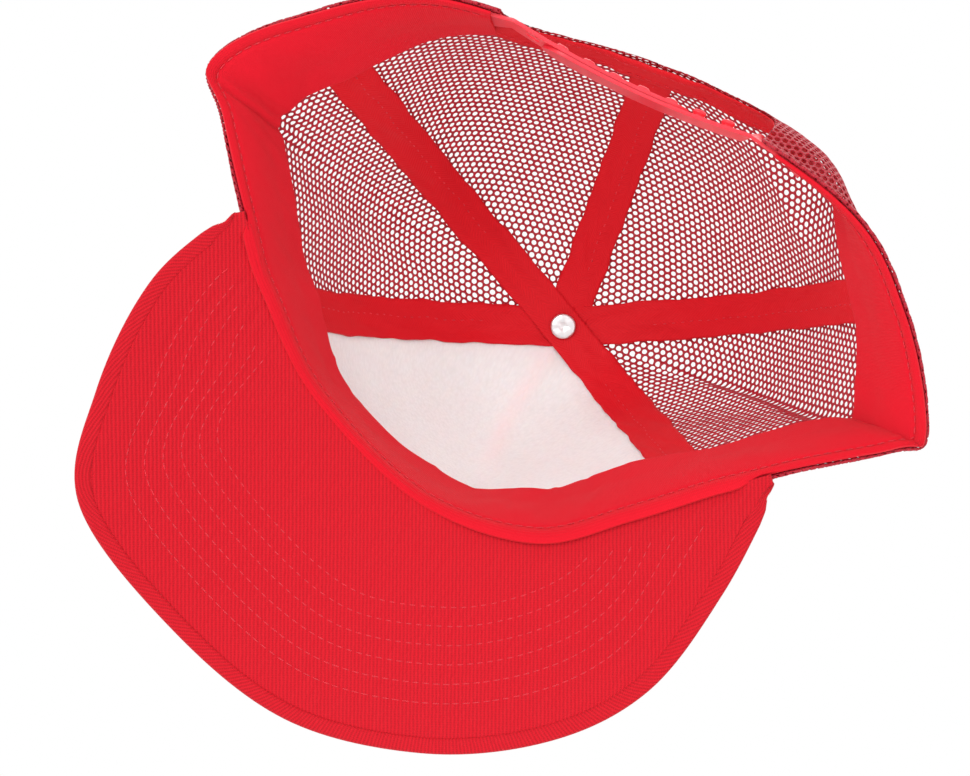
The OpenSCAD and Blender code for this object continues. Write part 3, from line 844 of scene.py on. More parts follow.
class CAP_OT_mesh(bpy.types.Operator):
    """Build the four panels of open mesh"""

    bl_idname = "cap.mesh"
    bl_label = "Mesh Panels"

    DENSE_HEM = 4.5     # the mesh is drawn together this far from its hem

    def execute(self, context):
        for name, a, b, width, length in [
                ("mesh_side_left", FRONT_LEFT, SIDE_LEFT, 156, 132), ("mesh_back_left", SIDE_LEFT, BACK,
                        112, 134),
                ("mesh_back_right", BACK, SIDE_RIGHT, 112, 134), ("mesh_side_right", SIDE_RIGHT,
                        FRONT_RIGHT, 150, 132)]:
            self.panel(context.scene.cap_sizes, name, a, b, width, length)
        return {"FINISHED"}

    def panel(self, sizes, name, a, b, width, length):
        fold = sizes.mesh_fold / MM
        chart = MeshChart(a, b, fold)
        pitch, step = sizes.hole_pitch / MM, sizes.column_pitch / MM
        columns, rows = int(chart.reach[-1] / step) + 1, int(chart.reach[-1] / pitch) + 1
        cells = [(i * step, (j + 0.5 * (i % 2)) * pitch) for i in range(-columns,
                columns + 1) for j in range(rows)]
        u, v = np.array(cells).T
        s, d, away = chart.position(u, v)
        keep = (away < 0.55 * step) & (inside_arch(s, d) > 0.9)
        bm = bmesh.new()
        shape = (Matrix.Diagonal((step / 1.5, pitch / math.sqrt(3), 1, 1))
                 @ Matrix.Rotation(math.pi / 2, 4, "Z"))
        for x, y in zip(u[keep], v[keep]):
            bmesh.ops.create_circle(bm, cap_ends=True, radius=1, segments=6,
                                    matrix=Matrix.Translation((x, y, 0)) @ shape)
        bmesh.ops.remove_doubles(bm, verts=bm.verts, dist=0.1)
        bmesh.ops.subdivide_edges(bm, edges=bm.edges, cuts=1)
        holes = list(bm.faces)
        middles = np.array([face.calc_center_median()[:2] for face in holes])
        heights = ease(np.abs(chart.position(*middles.T)[1]) / self.DENSE_HEM)
        bmesh.ops.inset_individual(bm, faces=holes, thickness=0.3, use_even_offset=True)
        draw = random.Random(len(name) + int(a * 100))
        for hole, height in zip(holes, heights):
            centre = hole.calc_center_median()
            radius = sizes.hole_size / MM / 2 * draw.uniform(0.95, 1.04) * mix(0.5, 1.0, height)
            centre = centre + Vector((draw.uniform(-0.05, 0.05), draw.uniform(-0.05, 0.05), 0))
            for vert in hole.verts:
                away = (vert.co - centre).normalized()
                vert.co = centre + Vector((away.x * radius, away.y * radius * 1.14, 0))
        bmesh.ops.delete(bm, geom=holes, context="FACES_ONLY")
        cloth_area = sum(f.calc_area() for f in bm.faces) * MM * MM
        bm.verts.index_update()
        flat = flat_places(bm)
        s, d, _ = chart.position(flat[:, 0], flat[:, 1])
        s, d = push_out_of_arch(s, d)
        roll = 0.7
        side = np.sin(np.clip(d / roll, -1, 1) * math.pi / 2)
        t = wall_t(s, np.maximum(np.hypot(d, roll * 0.4) - roll * 0.4, 0))
        off = 0.02 + 0.42 * side + 0.10 * waves(flat[:, 0], flat[:, 1], 9.0, a)
        points = skin(s, t, off)
        points[:, 2] -= 0.35 * np.exp(-(d / roll) ** 2)
        lay_out(bm, points, flat[:, :2])
        bmesh.ops.remove_doubles(bm, verts=bm.verts, dist=0.06 * MM)
        bm.verts.index_update()
        face_outwards_by_place(bm)
        piece = finish_piece(bm, name + "_fabric", material("mesh_yarn"), replaces=[name], slot="red_mesh")
        thicken(piece, sizes.mesh_thickness / MM, 0.0)
        declare_sheet(piece, width, length, area=cloth_area)


def face_outwards_by_place(bm):
    """Turns a fold's faces one way: most of them look away from the cap's middle."""
    bm.normal_update()
    middle = Vector((0, 0, 40 * MM))
    total = sum(f.normal.dot(f.calc_center_median() - middle) * f.calc_area() for f in bm.faces)
    if total < 0:
        bmesh.ops.reverse_faces(bm, faces=bm.faces)


# ---- Seam tapes and crown stitching ----------------------------------------------------------

def tape_point(seam, t, w, off, deep=0.0):
    """A point of a seam tape: t along the seam, w across it, off inwards from its outer side."""
    base = crown(seam, t)
    across = base[..., :2] - TOP[:2]
    r = np.linalg.norm(across, axis=-1)
    angle = np.interp(seam, BEARING_S, BEARINGS) + np.degrees(np.arctan2(w, r))
    s, reach = s_at(angle), np.hypot(r, w)
    tt = mix(t_at(s, reach), t, ease((r - 30) / 15))
    under = tape_depth(s, tt) + deep * (1 - ease((r - 8) / 10))
    return skin(s, np.maximum(tt, 0.005), -under - off)


class CAP_OT_tapes(bpy.types.Operator):
    """Build the four seam tapes inside the crown, with the stitches that show on them"""

    bl_idname = "cap.tapes"
    bl_label = "Seam Tapes"

    START, ARM_START = 0.02, 0.07       # how near the top a tape starts, and an arm of the diagonal
    DEEP = TAPE_T + 3 * LAYER_GAP
    HEM_STOP, ARCH_STOP = 3.0, 39.0     # how far above the hem a tape ends

    def lane(self, seam, stop, start, deep):
        """Points along one arm of tape, as a function of the share along it and across it."""
        end = float(wall_t(seam, stop))

        def place(y, w):
            t = mix(start, end, y)
            w = w + 0.4 * waves(y * 110, 0 * y, 15.0, seam + 2)
            ripple = 0.3 * waves(w * 2, y * 110, 17.0, seam) + 0.10 * np.abs(w / 6.5) ** 3
            return tape_point(seam, t, w, ripple, deep)
        return place

    def execute(self, context):
        runs = []
        for name, seam, stop, under in [
                ("front_left", FRONT_LEFT, self.HEM_STOP, "mesh_side_left_fabric"),
                ("back_centre", BACK, self.ARCH_STOP, "mesh_back_left_fabric"),
                ("side_right", SIDE_RIGHT, self.HEM_STOP, "mesh_side_right_fabric")]:
            place = self.lane(seam, stop, self.START, 0.0)
            self.tape("seam_tape_" + name + "_cloth", place, 110, 115, ["seam_tape_" + name], under)
            runs += self.rows(place)
        arm_a = self.lane(SIDE_LEFT, self.HEM_STOP, self.ARM_START, self.DEEP)
        arm_b = self.lane(FRONT_RIGHT, self.HEM_STOP, self.ARM_START, self.DEEP)

        def diagonal(y, w):
            first, last = arm_a(np.clip(1 - y / 0.47, 0, 1), w), arm_b(np.clip((y - 0.53) / 0.47, 0, 1), -w)
            k = np.clip((y - 0.47) / 0.06, 0, 1)[..., None]
            bow = np.zeros_like(first)
            bow[..., 2] = 0.5 * np.sin(math.pi * k[..., 0])
            return mix(first, last, k) + bow

        self.tape("seam_tape_diagonal_cloth", diagonal, 240, 238, ["seam_tape_diagonal"],
                  "mesh_back_left_fabric")
        runs += self.rows(arm_a) + self.rows(arm_b)
        stitches("tape_stitches", runs, material("sewing_thread"), pitch=3.3, length=1.3, thick=0.4,
                 lift=0.0, seed=3, slot="red_thread")
        return {"FINISHED"}

    def tape(self, name, place, rows, length, replaces, under):
        def spread(x, y):
            w = (x - 0.5) * TAPE_W
            return place(y, w), np.stack([w, y * length], -1)

        def outs(x, y):
            return np.tile([0.0, 0.0, 1.0], (len(x), 1)) + unit(spread(x, y)[0] - [0, 0, 20])

        piece = cloth(name, 14, rows, spread, outs, material("seam_tape"), TAPE_T, replaces=replaces,
                      slot="red_tape")
        declare_sheet(piece, TAPE_W, length)

    def rows(self, place):
        """The row of seam stitches along the middle of a tape."""
        runs = []
        y = np.linspace(0.16, 0.97, 90)
        for w in (0.9,):
            wide = np.full_like(y, w)
            points, beside = place(y, wide), place(y, wide + 0.5)
            along = np.gradient(points, axis=0)
            normal = unit(np.cross(along, beside - points))
            inward = np.where(((points - [0, 0, 20]) * normal).sum(1, keepdims=True) > 0, -normal, normal)
            runs.append((points + inward * (TAPE_T - 0.02), inward))
        return runs


class CAP_OT_crown_stitching(bpy.types.Operator):
    """Sew the twin rows of topstitching beside every crown seam"""

    bl_idname = "cap.crown_stitching"
    bl_label = "Crown Stitching"

    def execute(self, context):
        sizes = context.scene.cap_sizes
        runs = []
        for seam in (FRONT_LEFT, SIDE_LEFT, BACK, SIDE_RIGHT, FRONT_RIGHT):
            end = float(wall_t(BACK, ARCH_H + 3)) if seam == BACK else 0.985
            t = np.linspace(0.12, end, 80)
            r = np.linalg.norm(crown(seam, t)[:, :2] - TOP[:2], axis=1)
            for side in (-3.0, 3.0):
                s = s_at(np.interp(seam, BEARING_S, BEARINGS) + np.degrees(np.arctan2(side, r)))
                runs.append((skin(s, t, PANEL_T - 0.05), outward(s, t)))
        stitches("crown_topstitches", runs, material("sewing_thread"), length=sizes.stitch_length / MM,
                 thick=sizes.thread_size / MM, seed=5, replaces=["crown_stitching"], slot="red_thread")
        return {"FINISHED"}


# ---- Button and rivet ------------------------------------------------------------------------

def turned(profile, centre, segments=64):
    """A round solid spun from its profile of (radius, height) points, in millimetres."""
    bm = bmesh.new()
    verts = [bm.verts.new((r, 0, z)) for r, z in profile]
    edges = [bm.edges.new(pair) for pair in zip(verts, verts[1:])]
    bmesh.ops.spin(bm, geom=verts + edges, axis=(0, 0, 1), cent=(0, 0, 0), angle=2 * math.pi,
                   steps=segments, use_merge=True)
    bmesh.ops.remove_doubles(bm, verts=bm.verts, dist=0.001)
    bmesh.ops.recalc_face_normals(bm, faces=bm.faces)
    bmesh.ops.translate(bm, vec=centre, verts=bm.verts)
    return bm


class CAP_OT_button(bpy.types.Operator):
    """Build the covered button and the rivet that holds it"""

    bl_idname = "cap.button"
    bl_label = "Button and Rivet"

    def execute(self, context):
        low, high = (np.array(c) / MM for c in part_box("top_button"))
        radius, height = (high[0] - low[0]) / 2, high[2] - low[2]
        dome = [(radius * math.sin(a) ** 0.9,
                 height * (0.18 + 0.82 * math.cos(a))) for a in np.linspace(0.0, math.pi / 2, 18)]
        profile = [(0, height), *dome[1:], (radius, 0.35), (radius - 0.35, 0.0),
                   (radius - 2.2, 0.15), (0, 0.2)]
        bm = turned(profile, (TOP[0], TOP[1], low[2]))
        bm.verts.index_update()
        places = flat_places(bm)
        angle = np.arctan2(places[:, 1] - TOP[1], places[:, 0] - TOP[0])
        reach = np.hypot(places[:, 0] - TOP[0], places[:, 1] - TOP[1]) / radius
        places[:, 2] += (0.12 * np.sin(9 * angle) * reach ** 6
                         + 0.06 * waves(places[:, 0], places[:, 1], 5.0))
        lay_out(bm, places, places[:, :2])
        finish_piece(bm, "top_button_cover", material("visor_twill"), replaces=["top_button"],
                     slot="red_twill")
        self.rivet()
        return {"FINISHED"}

    def rivet(self):
        low, high = (np.array(c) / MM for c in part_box("button_rivet"))
        radius = (high[0] - low[0]) / 2
        stem = high[2] - low[2]
        profile = [(0, 0.22), (1.0, 0.20), (1.35, 0.05), (1.8, 0.0), (radius - 0.7, 0.02), (radius - 0.2,
                0.14), (radius, 0.42),
                   (radius - 0.06, 0.75), (radius - 0.35, 0.95), (1.3, 1.0), (1.15, 1.2), (1.15,
                           stem - 0.2), (0.95, stem), (0, stem)]
        bm = turned(profile, (TOP[0], TOP[1], low[2]), 72)
        bm.verts.index_update()
        places = flat_places(bm)
        angle = np.arctan2(places[:, 1] - TOP[1], places[:, 0] - TOP[0])
        face = (places[:, 2] < low[2] + 0.5)
        places[:, 2] += np.where(face, 0.05 * waves(places[:, 0], places[:, 1],
                                                    2.6) + 0.03 * np.sin(5 * angle), 0)
        lay_out(bm, places, places[:, :2])
        finish_piece(bm, "button_rivet_disc", material("rivet_metal"), replaces=["button_rivet"],
                     slot="rivet_metal")


# ---- Sweatband -------------------------------------------------------------------------------

def band_place(s, y):
    """A point on the sweatband's outer side, y millimetres above its lower edge."""
    q = from_front(s)
    front = ease((2.9 - np.abs(q)) / 0.9)
    slack = 0.5 + 0.5 * np.sin(4.1 * q + 0.6) * np.cos(1.7 * q)
    nicks = np.exp(-((np.mod(2.3 * q + 0.3, 1) - 0.5) / 0.12) ** 2) * np.sin(4.7 * q + 0.6)
    uneven = 0.035 * np.sin(3.3 * q + 0.8) + 0.03 * np.sin(7.9 * q + 1.1) + 0.045 * nicks
    height = y * (1 + front * uneven + 0.02 * np.sin(2.1 * s))
    up = np.clip(y / BAND_H, 0, 1)
    lift = front * up ** 2 * (0.5 + 1.6 * slack) + 0.25 * up * (1 + np.sin(3.7 * s))
    puff = 0.35 * np.sin(np.clip((y - 4) / 14, 0,
                                 1) * math.pi) - 0.55 * np.exp(-((y - BAND_ROW) / 0.8) ** 2)
    crease = 0.22 * waves(s * 36, y * 1.5, 27.0, 1.0) * ease(y / 10)
    points = skin(s, wall_t(s, band_foot(s) + height), -band_depth(s) - lift - puff - crease)
    side = unit(outward(s, np.ones_like(s)) * [1, 1, 0])
    roll = np.clip(1 - y / (BAND_ROW + 0.4), 0, 1) * math.pi / 2
    over = ease((2.95 - np.abs(q)) / 0.25)
    out, down = mix(0.9, FRONT_BAND, over) * (1 - np.cos(roll)), mix(0.4, 2.6, over) * np.sin(roll)
    return points + side * out[..., None] - down[..., None] * np.array([0, 0, 1])


class CAP_OT_sweatband(bpy.types.Operator):
    """Build the sweatband, its stitching and the piping along the visor"""

    bl_idname = "cap.sweatband"
    bl_label = "Sweatband"

    def execute(self, context):
        def place(x, y):
            s = mix(BAND_START, BAND_END, x)
            up = y ** 1.6 * BAND_H
            return band_place(s, up), np.stack([(s - 16) * 36, up], -1)

        def outs(x, y):
            s = mix(BAND_START, BAND_END, x)
            return outward(s, wall_t(s, 10 * np.ones_like(s)))

        sizes = context.scene.cap_sizes
        band = cloth("sweatband_cloth", 520, 46, place, outs, material("band_cloth"), 0,
                     replaces=["sweatband"], slot="red_band")
        thicken(band, BAND_T, -1.0)
        soften_edges(band, 0.25, 50)
        s = np.linspace(BAND_START + 0.05, BAND_END - 0.05, 900)
        normal = -outward(s, wall_t(s, 4 * np.ones_like(s)))
        row = stitches("sweatband_stitches", [(band_place(s, np.full_like(s, BAND_ROW)) + normal * BAND_T,
                                               normal)], material("sewing_thread"),
                       pitch=3.0, length=sizes.stitch_length / MM, thick=sizes.thread_size / MM, lift=0.22,
                       seed=7,
                       replaces=["sweatband_stitching"], slot="red_thread")
        declare_sheet(band, 528, BAND_H + 1)
        self.piping()
        return {"FINISHED"}

    def piping(self):
        """A rolled cord of cloth between the sweatband and the visor."""
        bm = grid_bmesh(260, 14)
        bm.verts.index_update()
        xy = flat_places(bm)
        s, a = mix(-2.85, 2.85, xy[:, 0]), xy[:, 1] * 2 * math.pi
        side = outward(s, np.ones_like(s)) * [1, 1, 0]
        side = unit(side)
        radius = 1.0 * (1 + 0.05 * waves(s * 36, a, 6.0)) * np.where(np.abs(s) > 2.8, 0.8, 1)
        middle = hem(s) - 1.3 * side - [0, 0, 0.9]
        points = middle + radius[:, None] * (np.cos(a)[:, None] * side + np.sin(a)[:,
                None] * np.array([0, 0, 1]))
        lay_out(bm, points, np.stack([s * 36, a * 1.1], -1))
        bmesh.ops.remove_doubles(bm, verts=bm.verts, dist=0.01 * MM)
        bmesh.ops.holes_fill(bm, edges=[e for e in bm.edges if e.is_boundary], sides=40)
        bmesh.ops.recalc_face_normals(bm, faces=bm.faces)
        finish_piece(bm, "sweatband_piping_roll", material("band_cloth"), replaces=["sweatband_piping"],
                     slot="red_band")


# ---- Arch binding ----------------------------------------------------------------------------

BINDING_T = 0.35
BINDING_W = 12.0


def arch_spot(q, w):
    """Hem position and height up the wall, w outside the arch's edge, q degrees round it."""
    c, n = np.cos(np.radians(q)), np.sin(np.radians(q))
    x = ARCH_X + np.sign(c) * (ARCH_R + w) * np.abs(c) ** (2 / ARCH_POWER)
    return s_at_x(x), (ARCH_H + w) * np.maximum(n, 0) ** (2 / ARCH_POWER)


def binding_depth(s):
    back = ring(HEM_PLAN, np.array(BACK))[0]
    over = ease((np.abs(ring(HEM_PLAN, s)[..., 0] - back) - TAPE_W / 2 - 2) / 5)
    return mix(FOAM_GAP + FOAM_EDGE + LAYER_GAP + TAPE_T + LAYER_GAP, 0.5, over)


class CAP_OT_binding(bpy.types.Operator):
    """Bind the edge of the arch over the strap"""

    bl_idname = "cap.binding"
    bl_label = "Arch Binding"

    def execute(self, context):
        def place(x, y):
            q = mix(3.0, 177.0, x)
            w = mix(0.0, BINDING_W, y)
            s, d = arch_spot(q, w)
            rim = np.exp(-(w / 0.9) ** 2)
            off = -binding_depth(s) - 0.15 * waves(q * 1.2, w, 11.0) - 0.1
            return skin(s, wall_t(s, d), mix(off, 0.1, rim * 0.5)), np.stack([w, q * 0.85], -1)

        def outs(x, y):
            s, d = arch_spot(mix(3.0, 177.0, x), mix(0.0, BINDING_W, y))
            return outward(s, wall_t(s, d))

        binding = cloth("arch_binding_cloth", 150, 14, place, outs, material("seam_tape"), BINDING_T,
                        replaces=["arch_binding"], slot="red_tape")
        runs = []
        for w in (2.2, 9.6):
            q = np.linspace(6, 174, 160)
            s, d = arch_spot(q, np.full_like(q, w))
            normal = -outward(s, wall_t(s, d))
            runs.append((skin(s, wall_t(s, d), -binding_depth(s) - 0.1 - BINDING_T), normal))
        row = stitches("arch_binding_stitches", runs, material("sewing_thread"), length=2.0, thick=0.4,
                       seed=9, slot="red_thread")
        declare_sheet(binding, BINDING_W + 1, 152)
        return {"FINISHED"}


# ---- Visor -----------------------------------------------------------------------------------

BOARD_END, VISOR_END = 2.96, 2.99


def visor_rim(s):
    return open_curve(VISOR_PLAN, (3 - s) / 6 * (len(VISOR_PLAN) - 1))


def visor_edge(s):
    """The visor's rim, with its rear corners rounded off towards the hem."""
    corner = np.sqrt(np.clip((3.0 - np.abs(s)) / 0.14, 0.04, 1))
    return mix(visor_root(s), visor_rim(s), corner[..., None])


def visor_end(s):
    """1 along the visor, and down to 0 where the two covers meet past the board's ends."""
    return np.sqrt(np.clip(1 - (np.clip(np.abs(s) - BOARD_END, 0, 1) / (VISOR_END - BOARD_END)) ** 2, 0, 1))


def along_visor(x):
    """Places along the visor for x from 0 to 1, closest together at its two ends."""
    return VISOR_END * np.sin((x - 0.5) * 0.96 * math.pi) / math.sin(0.48 * math.pi)


def visor_root(s, gap=1.0):
    step = ring(HEM_PLAN, s + 0.02) - ring(HEM_PLAN, s - 0.02)
    return ring(HEM_PLAN, s) + gap * unit(np.stack([step[..., 1], -step[..., 0]], -1))


def visor_side(s):
    step = visor_rim(s + 0.03) - visor_rim(s - 0.03)
    return unit(np.stack([step[..., 1], -step[..., 0]], -1))


def edge_reach(s):
    return ((visor_edge(s) - visor_root(s)) * visor_side(s)).sum(-1)


def quilting(inset):
    """How far the rows of stitches pull the cover in."""
    rows = FIRST_ROW + ROW_GAP * np.arange(VISOR_ROWS)
    return sum(np.exp(-((inset - r) / 0.9) ** 2) for r in rows)


def visor_surface(s, v, face, inset=0.0):
    """A point on the visor's outer face: v from the hem to the edge, face 1 on top and -1 below."""
    width = np.linalg.norm(visor_edge(s) - visor_root(s), axis=-1)
    edge = visor_edge(s) - visor_side(s) * np.minimum(inset, 0.4 * width)[:, None]
    xy = mix(visor_root(s), edge, v[:, None])
    depth = (1 - v) * edge_reach(s) + inset
    relief = 0.14 * waves(xy[:, 0], xy[:, 1], 46.0, 2.0) - 0.16 * quilting(depth) * (edge_reach(s) > 22)
    z = visor_height(xy) + face * (VISOR_HALF + relief) * visor_end(s)
    return np.concatenate([xy, z[:, None]], -1)


def visor_stitch_runs(face):
    s = np.linspace(-2.9, 2.9, 420)
    runs = []
    for row in FIRST_ROW + ROW_GAP * np.arange(VISOR_ROWS):
        reach = edge_reach(s)
        kept = reach > row + 4
        points = visor_surface(s[kept], 1 - row / reach[kept], face)
        runs.append((points, np.tile([0.0, 0.0, float(face)], (len(points), 1))))
    return runs


class CAP_OT_visor(bpy.types.Operator):
    """Build the visor's covers and its rows of stitches, and finish its board"""

    bl_idname = "cap.visor"
    bl_label = "Visor"

    LIP = 3.0

    def execute(self, context):
        sizes = context.scene.cap_sizes
        under_rows, rim_rows = 104, 12

        def under(x, y):
            s = along_visor(x)
            points = visor_surface(s, y, -1, VISOR_HALF + self.LIP - 0.4)
            points[:, :2] -= (2.2 * ease(1 - y / 0.03))[:, None] * unit(visor_root(s) - visor_root(s, 0.0))
            dip = 0.35 * ease((y - 0.985) / 0.015)
            points[:, 2] += dip
            return points, points[:, :2] * 1.0

        down = lambda x, y: np.tile([0.0, 0.0, -1.0], (len(x), 1))
        cover = cloth("visor_under_cover_twill", 230, under_rows, under, down, material("visor_twill"),
                      0.55,
                      replaces=["visor_under_cover"], slot="red_twill")

        def over(x, y):
            s = along_visor(x)
            flat_part = 0.86
            v = np.clip(y / flat_part, 0, 1)
            top = visor_surface(s, v, 1, VISOR_HALF)
            k = np.clip((y - flat_part) / (1 - flat_part), 0, 1)
            angle = math.pi * np.clip(k / 0.6, 0, 1)
            width = np.linalg.norm(visor_edge(s) - visor_root(s), axis=-1)
            shrink = np.minimum(1, 0.4 * width / (VISOR_HALF + self.LIP))
            tuck = np.sqrt(np.clip((VISOR_END - np.abs(s)) / 0.2, 0, 1))
            out = VISOR_HALF * np.sin(angle) * tuck - self.LIP * np.clip((k - 0.6) / 0.4, 0, 1) * shrink
            xy = top[:, :2] + visor_side(s) * (out * (k > 0))[:, None]
            bead = 0.12 * np.exp(-((k - 0.86) / 0.1) ** 2)
            z = visor_height(xy) + (VISOR_HALF + bead) * np.cos(angle) * visor_end(s)
            lowered = 0.45 * ease((k - 0.93) / 0.07)
            rim = np.concatenate([xy, (z + lowered)[:, None]], -1)
            points = np.where((k > 0)[:, None], rim, top)
            flat = top[:, :2] + visor_side(s) * (k * 9)[:, None]
            return points, flat

        def over_outs(x, y):
            s = along_visor(x)
            k = np.clip((y - 0.86) / 0.14, 0, 1)
            angle = math.pi * np.clip(k / 0.6, 0, 1)
            return np.concatenate([visor_side(s) * np.sin(angle)[:, None], np.cos(angle)[:, None]], -1)

        lid = cloth("visor_top_cover_twill", 230, under_rows + rim_rows, over, over_outs,
                    material("visor_twill"), 0.5,
                    replaces=["visor_top_cover"], slot="red_twill")
        details = dict(length=sizes.stitch_length / MM, thick=sizes.thread_size / MM, slot="red_thread")
        row_under = stitches("visor_under_stitches", visor_stitch_runs(-1), material("sewing_thread"),
                             seed=11,
                             replaces=["visor_stitching"], **details)
        row_over = stitches("visor_top_stitches", visor_stitch_runs(1), material("sewing_thread"), seed=13,
                            **details)
        declare_sheet(cover, 182, 126)
        declare_sheet(lid, 192, 136)
        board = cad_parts["visor_board"]
        board.data.materials.clear()
        board.data.materials.append(material("visor_board_plastic"))
        return {"FINISHED"}


# ---- Strap -----------------------------------------------------------------------------------

def strap_point(r, a):
    turn = np.radians(np.asarray(a, float) + STRAP_TURN)
    return STRAP_CENTRE + np.stack([np.sin(turn), -np.cos(turn)], -1) * np.asarray(r)[..., None]


class CAP_OT_strap(bpy.types.Operator):
    """Build the two halves of the snap strap, from their sewn ends to their tips"""

    bl_idname = "cap.strap"
    bl_label = "Snap Strap"

    def execute(self, context):
        self.half("strap_holes_half", "holes_half", STRAP_R - STRAP_T - STRAP_FIT, HOLES_HINGE,
                  FIRST_PEG + 2 * PEG_STEP - 1.1 * 5.1 / STRAP_R * 180 / math.pi, 62.0,
                  ["strap_holes", "strap_anchor_left"], range(2, PEGS))
        self.half("strap_pegs_half", "pegs_half", STRAP_R, PEGS_HINGE,
                  FIRST_PEG + (PEGS - 1) * PEG_STEP + 5.1 / STRAP_R * 180 / math.pi, -46.0,
                  ["strap_pegs", "strap_anchor_right"], ())
        self.pegs()
        return {"FINISHED"}

    def half(self, name, body, r, hinge, tip, sewn_x, replaces, holes):
        """A flat bar is pierced, then laid along its path: the sewn end in the wall, then the strap's arc."""
        side = math.copysign(1, hinge)
        free = abs(tip - hinge) * math.pi / 180 * r
        hinge_xy = strap_point(np.array(r), np.array(hinge))
        sewn = abs(sewn_x - hinge_xy[0])
        bm = bmesh.new()
        bmesh.ops.create_grid(bm, x_segments=96, y_segments=10, size=0.5)
        bmesh.ops.scale(bm, vec=(free + sewn, STRAP_H, 1), verts=bm.verts)
        bmesh.ops.translate(bm, vec=((free - sewn) / 2, 0, 0), verts=bm.verts)
        round_r = STRAP_H / 2
        for vert in bm.verts:
            past = max(0.0, vert.co.x - (free - round_r)) / round_r
            vert.co.y *= math.sqrt(max(1 - past * past, 0.0004))
        bmesh.ops.remove_doubles(bm, verts=bm.verts, dist=0.02)
        shell = bmesh.ops.extrude_face_region(bm, geom=bm.faces[:])
        raised = [v for v in shell["geom"] if isinstance(v, bmesh.types.BMVert)]
        bmesh.ops.translate(bm, vec=(0, 0, STRAP_T), verts=raised)
        bmesh.ops.translate(bm, vec=(0, 0, -STRAP_T / 2), verts=bm.verts)
        bmesh.ops.recalc_face_normals(bm, faces=bm.faces)
        bar = finish_piece(bm, name, material("strap_plastic"), body=None)
        if holes:
            self.pierce(bar, [abs(FIRST_PEG + k * PEG_STEP - hinge) * math.pi / 180 * r
                              for k in (*holes, PEGS)])
        self.bend(bar, r, hinge, side, hinge_xy)
        soften_edges(bar, 0.22, 40)
        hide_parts(*replaces)
        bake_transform(bar)

    def pierce(self, bar, places):
        cutter = bmesh.new()
        for x in places:
            bmesh.ops.create_cone(cutter, cap_ends=True, segments=40, radius1=2.3, radius2=2.3, depth=4,
                                  matrix=Matrix.Translation((x, 0, 0)))
        tool_mesh = bpy.data.meshes.new("punch")
        cutter.to_mesh(tool_mesh)
        cutter.free()
        tool = bpy.data.objects.new("punch", tool_mesh)
        bpy.context.scene.collection.objects.link(tool)
        cut = bar.modifiers.new("Holes", "BOOLEAN")
        cut.operation, cut.object, cut.solver = "DIFFERENCE", tool, "EXACT"
        pierced = bpy.data.meshes.new_from_object(bar.evaluated_get(bpy.context.evaluated_depsgraph_get()))
        bar.modifiers.clear()
        bar.data = pierced
        bpy.data.objects.remove(tool)

    def bend(self, bar, r, hinge, side, hinge_xy):
        mesh = bar.data
        flat = np.empty(len(mesh.vertices) * 3)
        mesh.vertices.foreach_get("co", flat)
        x, y, z = flat.reshape(-1, 3).T
        height = STRAP_Z + STRAP_H / 2 + y
        angle = hinge - side * x / r * 180 / math.pi
        arc_xy = strap_point(r - z, angle)
        arc = np.concatenate([arc_xy, height[:, None]], -1)
        along_hem = hinge_xy[0] - side * x
        s = s_at_x(along_hem)
        t = wall_t(s, np.maximum(height, 0))
        sewn = crown(s, t) + (z - 1.3)[:, None] * outward(s, t)
        w = ease((x + 1.5) / 3.0)[:, None]
        points = mix(sewn, arc, w) * MM
        mesh.vertices.foreach_set("co", points.ravel())
        mesh.update()

    def pegs(self):
        """The row of snap pegs: a short neck and a rounded bulb."""
        bm = bmesh.new()
        height = STRAP_T / 2 + STRAP_T + STRAP_FIT + 1.5
        profile = [(0, -0.2), (2.3, -0.2), (2.3, 0.1), (1.85, STRAP_T / 2 + 0.12), (1.72, 1.1), (1.75, 1.7),
                   (1.95, 2.05), (1.98, 2.4),
                   (1.8, height - 0.35), (1.4, height - 0.08), (0.9, height), (0, height)]
        for k in range(PEGS):
            angle = FIRST_PEG + k * PEG_STEP
            x, y = strap_point(np.array(STRAP_R), np.array(angle))
            peg = turned(profile, (0, 0, 0), 28)
            mesh = bpy.data.meshes.new("peg")
            place = (Matrix.Translation((x, y,
                                         STRAP_Z + STRAP_H / 2)) @ Matrix.Rotation(
                math.radians(angle + STRAP_TURN), 4, "Z")
                     @ Matrix.Rotation(-math.pi / 2, 4, "X"))
            bmesh.ops.transform(peg, matrix=Matrix.Scale(MM, 4) @ place, verts=peg.verts)
            peg.to_mesh(mesh)
            peg.free()
            bm.from_mesh(mesh)
            bpy.data.meshes.remove(mesh)
        finish_piece(bm, "strap_peg_row", material("strap_plastic"), body="pegs_half", slot="red_plastic")


# ---- Stage -----------------------------------------------------------------------------------

def one_sided(name, colour):
    """A pale matt sheet that is seen only from its front."""
    made = bpy.data.materials.new(name)
    made.use_nodes = True
    nodes, links = made.node_tree.nodes, made.node_tree.links
    shader = nodes["Principled BSDF"]
    shader.inputs["Base Color"].default_value = (*colour, 1)
    shader.inputs["Roughness"].default_value = 0.9
    shader.inputs["Specular IOR Level"].default_value = 0.1
    shader.inputs["Emission Color"].default_value = (1, 1, 1, 1)
    shader.inputs["Emission Strength"].default_value = 0.12
    clear = nodes.new("ShaderNodeBsdfTransparent")
    choose = nodes.new("ShaderNodeMixShader")
    links.new(nodes.new("ShaderNodeNewGeometry").outputs["Backfacing"], choose.inputs[0])
    links.new(shader.outputs[0], choose.inputs[1])
    links.new(clear.outputs[0], choose.inputs[2])
    links.new(choose.outputs[0], nodes["Material Output"].inputs[0])
    return made


